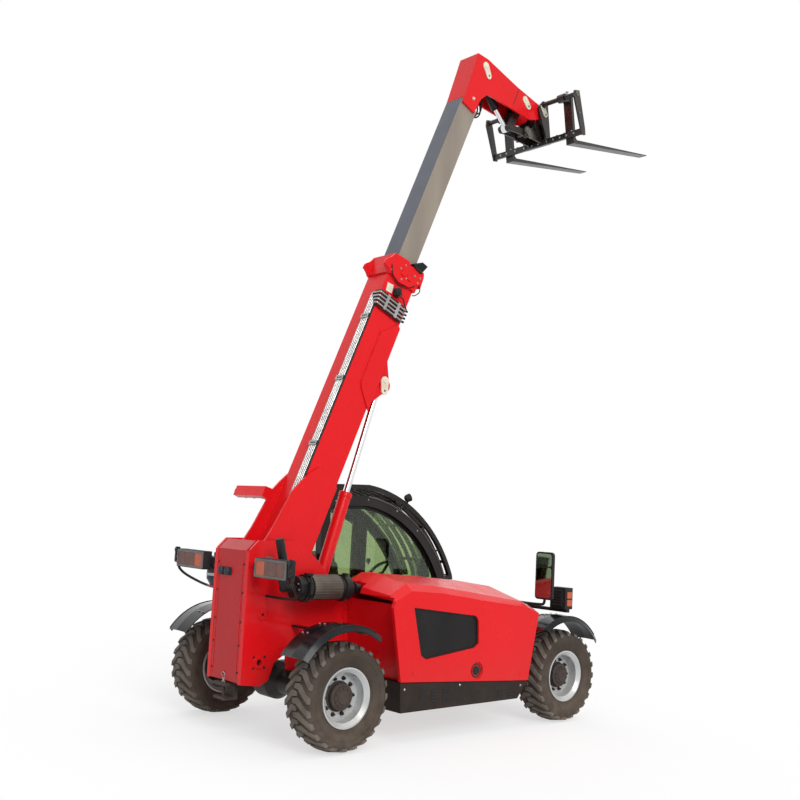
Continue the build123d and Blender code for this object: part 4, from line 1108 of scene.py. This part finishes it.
def make_front_lamps():
    lens = Piece("headlamp_lenses")
    bezels = Piece("headlamp_bezels")
    flank = Piece("front_side_lenses")
    glass_profile = [(LAMP_R, 0), (LAMP_R, 4), (LAMP_R * 0.6, 9), (4, 11)]
    ring = [(LAMP_R + 1, 0), (LAMP_R + 1, 10), (LAMP_R + 7, 10), (LAMP_R + 9, 0)]
    for hand in BOTH:
        for y in (790, 872):
            centre = SIDE.at(2760, 1130, hand * y)
            lens.lathe(centre, AHEAD, glass_profile, 32)
            bezels.lathe(centre, AHEAD, ring, 32, looped=True)
        y = hand * 833
        bezels.box((2652, 1040, y - 60), (2640, 1200, y + 60))
        for z in (1050, 1122):
            flank.prism(*sorted((hand * 925, hand * 934)), rounded((2672, z), (2744, z + 60), 8))
        for z in range(1050, 1206, 26):
            bezels.box((2636, z, y - 52), (2642, z + 12, y + 52))
    lens.done(lens_white)
    bezels.done(matte_plastic, bevel=1.5, steps=1)
    flank.done(lens_orange, bevel=1.5)


make_hood_trim()
make_mirrors()
make_front_lamps()

# ---- boom -----------------------------------------------------------------------------
BOOM_FACE = -140.0                              # across, the right face of the outer boom
PIPE_WRAP = 2565.0
PIPE_PITCH = 38
COLLAR_FACE = 162
COLLAR = [(2945, -10), (2992, -14), (3048, -61), (3107, -85), (3132, -269), (3104, -292),
          (3135, -469), (3089, -487), (2971, -495), (2972, -430), (2905, -373), (2878, -234)]
COLLAR_BOLTS = [(2935, -110), (2960, -300), (3010, -200), (3068, -240), (3040, -380), (3060, -450),
                (3000, -440), (2920, -250)]
COLLAR_LINES = [(6, (2762, -300, -172), (2752, -340, -190), (2700, -372, -192), (2692, -408, -182),
                 (2680, -440, -165)),
                (5, (2980, -90, -166), (2900, -130, -168), (2868, -200, -150), (2858, -260, -150),
                 (2898, -372, -160), (2950, -420, -166)),
                (5, (2990, -462, -166), (2940, -500, -172), (2870, -462, -168), (2862, -440, -150))]


def make_boom_trim():
    hoses = Piece("boom_hoses", BOOM)
    # black hoses under the pipes; they also fill the dark shade line behind the pipe bundle, so they are
    # partly painted shade
    for y in range(-134, -14, 24):
        hoses.tube([(330, -92, y), (PIPE_WRAP + 40, -92, y)], 8.5, 8)
    for x in (PIPE_WRAP - 18 + PIPE_PITCH * index for index in range(5)):
        hoses.hose([(x - 30, -90, -60), (x, -90, -80), (x, -90, -158), (x, -150, -158),
                    (x, -400, -158)], 9, 8, 5)
    hoses.done(hose_rubber, OUTER)
    pads = Piece("boom_pipe_clamps", BOOM)
    for x in (450, 1100, 1750, 2400):
        pads.box((x + 4, -101, -142), (x + 41, -72, -30))
        for y in (-110, -86, -62):
            pads.lathe((x + 22, -72, y), BOOM.above, [(7, 0), (7, 5), (5, 7)], 6)
    pads.done(black_paint, OUTER, bevel=2)
    fittings = Piece("boom_pipe_fittings", BOOM)
    elbows = Piece("boom_pipe_elbows", BOOM)
    for x in (PIPE_WRAP + PIPE_PITCH * index for index in range(4)):
        for z in (-405, -388):
            fittings.lathe((x, z, -168), -BOOM.above, [(12, 0), (12, 14), (9, 16)], 6)
        elbows.hose([(x, -420, -168), (x, -446, -168), (x + 14, -452, -150),
                     (x + 20, -454, -120)], 10, 8, 5)
    fittings.done(zinc, OUTER)
    elbows.done(hose_rubber, OUTER)


def make_collar():
    Piece("collar_sensor_plate", BOOM).prism(BOOM_FACE - 5, BOOM_FACE, [
        (2734, -149), (2816, -134), (2828, -207), (2746, -222)]).done(cream, OUTER, bevel=1)
    centre = BOOM.at(2786, -262, BOOM_FACE)
    valve = Piece("collar_valve", BOOM).lathe(centre, outward(RIGHT), [
        (30, 0), (30, 16), (38, 20), (38, 44), (32, 50), (18, 52), (16, 60)], 28)
    valve.box((2740, -292, BOOM_FACE - 30), (2792, -236, BOOM_FACE))
    for turn in map(math.radians, range(90, 390, 60)):
        arm = (BOOM.along * math.cos(turn) + BOOM.above * math.sin(turn)) * 30 * MM
        foot = centre + arm + outward(RIGHT) * 30 * MM
        valve.rod(foot, foot + arm * 0.9, 7, 8, 1)
    valve.done(matte_plastic, OUTER, bevel=1.5)
    lines = Piece("collar_lines", BOOM)
    for radius, *corners in COLLAR_LINES:
        lines.hose(corners, radius)
    lines.done(hose_rubber, OUTER)
    Piece("collar_plates", BOOM).pair(139, COLLAR_FACE, COLLAR).done(red, OUTER, bevel=3)
    Piece("collar_sensor", BOOM).prism(BOOM_FACE - 40, BOOM_FACE + 30, [
        (3131, -307), (3207, -398), (3206, -472), (3099, -433), (3107, -346)]).done(
        matte_plastic, OUTER, bevel=3)
    ribs = Piece("collar_sensor_ribs", BOOM)
    for i in range(5):
        x, top, low = 3128 + i * 15, -330 - i * 17, -428 - i * 6
        ribs.prism(BOOM_FACE - 43, BOOM_FACE - 38, [(x, top), (x + 5, top - 2),
                                                    (x + 5, low - 2), (x, low)])
    ribs.done(plastic, OUTER)
    Piece("collar_bolts", BOOM).bolt_pairs(COLLAR_BOLTS, COLLAR_FACE, 8).done(zinc, OUTER)
    pads = Piece("wear_pad_adjusters", BOOM)
    for hand in BOTH:
        for z in (-250, -330):
            pads.prism(*sorted((hand * COLLAR_FACE, hand * (COLLAR_FACE + 8))),
                       rounded((2959, z - 26), (3011, z + 26), 6))
    pads.done(red, OUTER, bevel=2)
    plug = Piece("boom_pin_caps", BOOM)
    for hand in BOTH:
        plug.lathe((0, 0, hand * 250), outward(hand), [(40, 0), (40, 5), (36, 8)], 32)
    plug.lathe((595, 25, 590), outward(LEFT), [(26, 0), (26, 14), (22, 18)], 28)
    plug.done(pin_grey, OUTER, bevel=1)


def make_arm():
    tube = Piece("arm_tube", BOOM).tube([(572, -16, 180), (572, -16, 560)], 12, 12)
    for y in (230, 360, 490):
        tube.box((556, -30, y), (590, -3, y + 22))
    tube.done(hose_rubber, OUTER, bevel=1)


# oval plates that keep pins from turning: body, plane, face, two centres, their radii, finish
PIN_PLATES = [("lift", OUTER, BOOM, 96, (1996, -545), (1916, -578), 46, 38, cream),
              ("tilt_foot", INNER, BOOM, 130, (5566, -271), (5501, -349), 42, 34, cream),
              ("lever", INNER, BOOM, 130, (5652, -901), (5618, -973), 38, 34, cream),
              ("carriage", "carriage", CARRIAGE, 166, (-2, 32), (36, -48), 31, 30, cream),
              ("link", "carriage", CARRIAGE, 92, (-191, -222), (-146, -280), 38, 30, pin_grey)]


def make_pin_plates():
    for name, body, plane, face, first, second, r1, r2, material in PIN_PLATES:
        plate = Piece("pin_plate_" + name, plane)
        heads = Piece("pin_plate_bolt_" + name, plane).bolt_pairs([second], face + 9, 9)
        for hand in BOTH:
            across = sorted((hand * (face - 9), hand * (face + 9)))
            plate.prism(*across, stadium(first, second, r1, r2))
            plate.lathe((*first, hand * (face + 9)), outward(hand), [(20, 0), (20, 3), (17, 5)], 28)
        plate.done(material, body, "trim_grey", bevel=2)
        heads.done(pin_grey, body)


def make_head():
    Piece("head_bolts", BOOM).bolt_pairs([(5140, -277)], 130, 15).done(cream, INNER)
    Piece("head_seams", BOOM).pair(129, 131.5, [(5690, -772), (5690, -779), (5480, -781),
                                                (5480, -774)]).done(black_paint, INNER)
    hoses = Piece("head_hoses", BOOM)
    ends = Piece("head_fittings", BOOM)
    for y, dip in ((-34, 0), (-8, 26), (26, 12)):
        hoses.hose([(5050, -312, y), (5100, -364, y), (5090 - dip, -432 - dip, y),
                    (5160, -492 - dip, y), (5260, -462, y), (5370, -412, y)], 8)
        ends.rod((5366, -414, y), (5410, -394, y), 12, 6, 1)
        ends.rod((5036, -298, y), (5058, -320, y), 12, 6, 1)
    hoses.done(hose_rubber, INNER)
    ends.done(zinc, INNER)


def make_cylinder_trim():
    gland = Piece("tilt_gland", TILT)
    gland.lathe((440, 0), TILT.along, [(41, 0), (42, 2), (42, 14), (39, 18), (26, 18.5)], 32)
    gland.lathe((-60, 0), TILT.along, [(30, -6), (40, 0), (42, 6), (42, 20), (40.5, 22)], 32)
    gland.rod((20, 36), (20, 66), 13, 6, 2)
    gland.rod((420, 36), (420, 62), 13, 6, 2)
    gland.done(black_paint, "tilt_barrel", bevel=1)
    Piece("tilt_pipe", TILT).hose([(420, 58), (400, 66), (60, 62), (30, 56)], 6).done(
        zinc, "tilt_barrel")
    Piece("lift_gland", LIFT).lathe((1251, 0), LIFT.along, [
        (58, 0), (61, 4), (61, 42), (56, 48), (33, 50)], 36).done(red, "lift_barrel", bevel=1)
    Piece("lift_pipe", LIFT).hose([(1277, -56, 20), (1257, -78, 22), (300, -76, 22),
                                   (130, -70, 20), (110, -40, 18)], 8).done(hose_rubber, "lift_barrel")


def make_carriage_trim():
    bolts = Piece("carriage_bolts", CARRIAGE)
    for y in (-520, -420, -330, -240, -150, -30, 60, 170, 300, 430, 520):
        bolts.bolt((46, -331, y), -CARRIAGE.along, 11)
    for y in (-480, -380, -280, 280, 380):
        bolts.lathe((65, -301, y), CARRIAGE.above, [(11, 0), (11, 9), (8, 12)], 6)
    bolts.done(zinc, "carriage")
    caps = Piece("carriage_shaft_caps", CARRIAGE)
    stops = Piece("fork_stops", CARRIAGE)
    for hand in BOTH:
        out = outward(hand)
        caps.lathe((8, 54, hand * 635), out, [(30, 0), (30, 4), (26, 7)], 28)
        caps.bolt((8, 54, hand * 641), out, 10)
        caps.lathe((20, -150, hand * 635), out, [(14, 0), (14, 3), (12, 4)], 20)
        stops.lathe(CARRIAGE.at(8, 54, min(hand * 170, hand * 186)), outward(LEFT),
                    [(38, 0), (38, 16), (25, 16), (25, 0)], 28, looped=True)
    caps.done(pin_grey, "carriage", bevel=1)
    stops.done(fork_black, "carriage", bevel=2)
    hoses = Piece("carriage_hoses", CARRIAGE)
    for z, y in ((-60, -108), (-40, -114)):
        hoses.hose([(-30, z, y), (-70, z - 40, y - 10), (-96, z - 110, y - 6), (-60, z - 160, y)], 6)
    hoses.done(hose_rubber, "carriage")
    for name in ("left", "right"):
        centre = CARRIAGE.at(100, 98, middle("fork_" + name).y / MM)
        Piece("fork_lock_" + name, CARRIAGE).lathe(centre, CARRIAGE.above, [
            (14, 0), (14, 12), (9, 14), (9, 30), (18, 34), (18, 42)], 20).done(zinc, "fork_" + name)


make_boom_trim()
make_collar()
make_arm()
make_pin_plates()
make_head()
make_cylinder_trim()
make_carriage_trim()
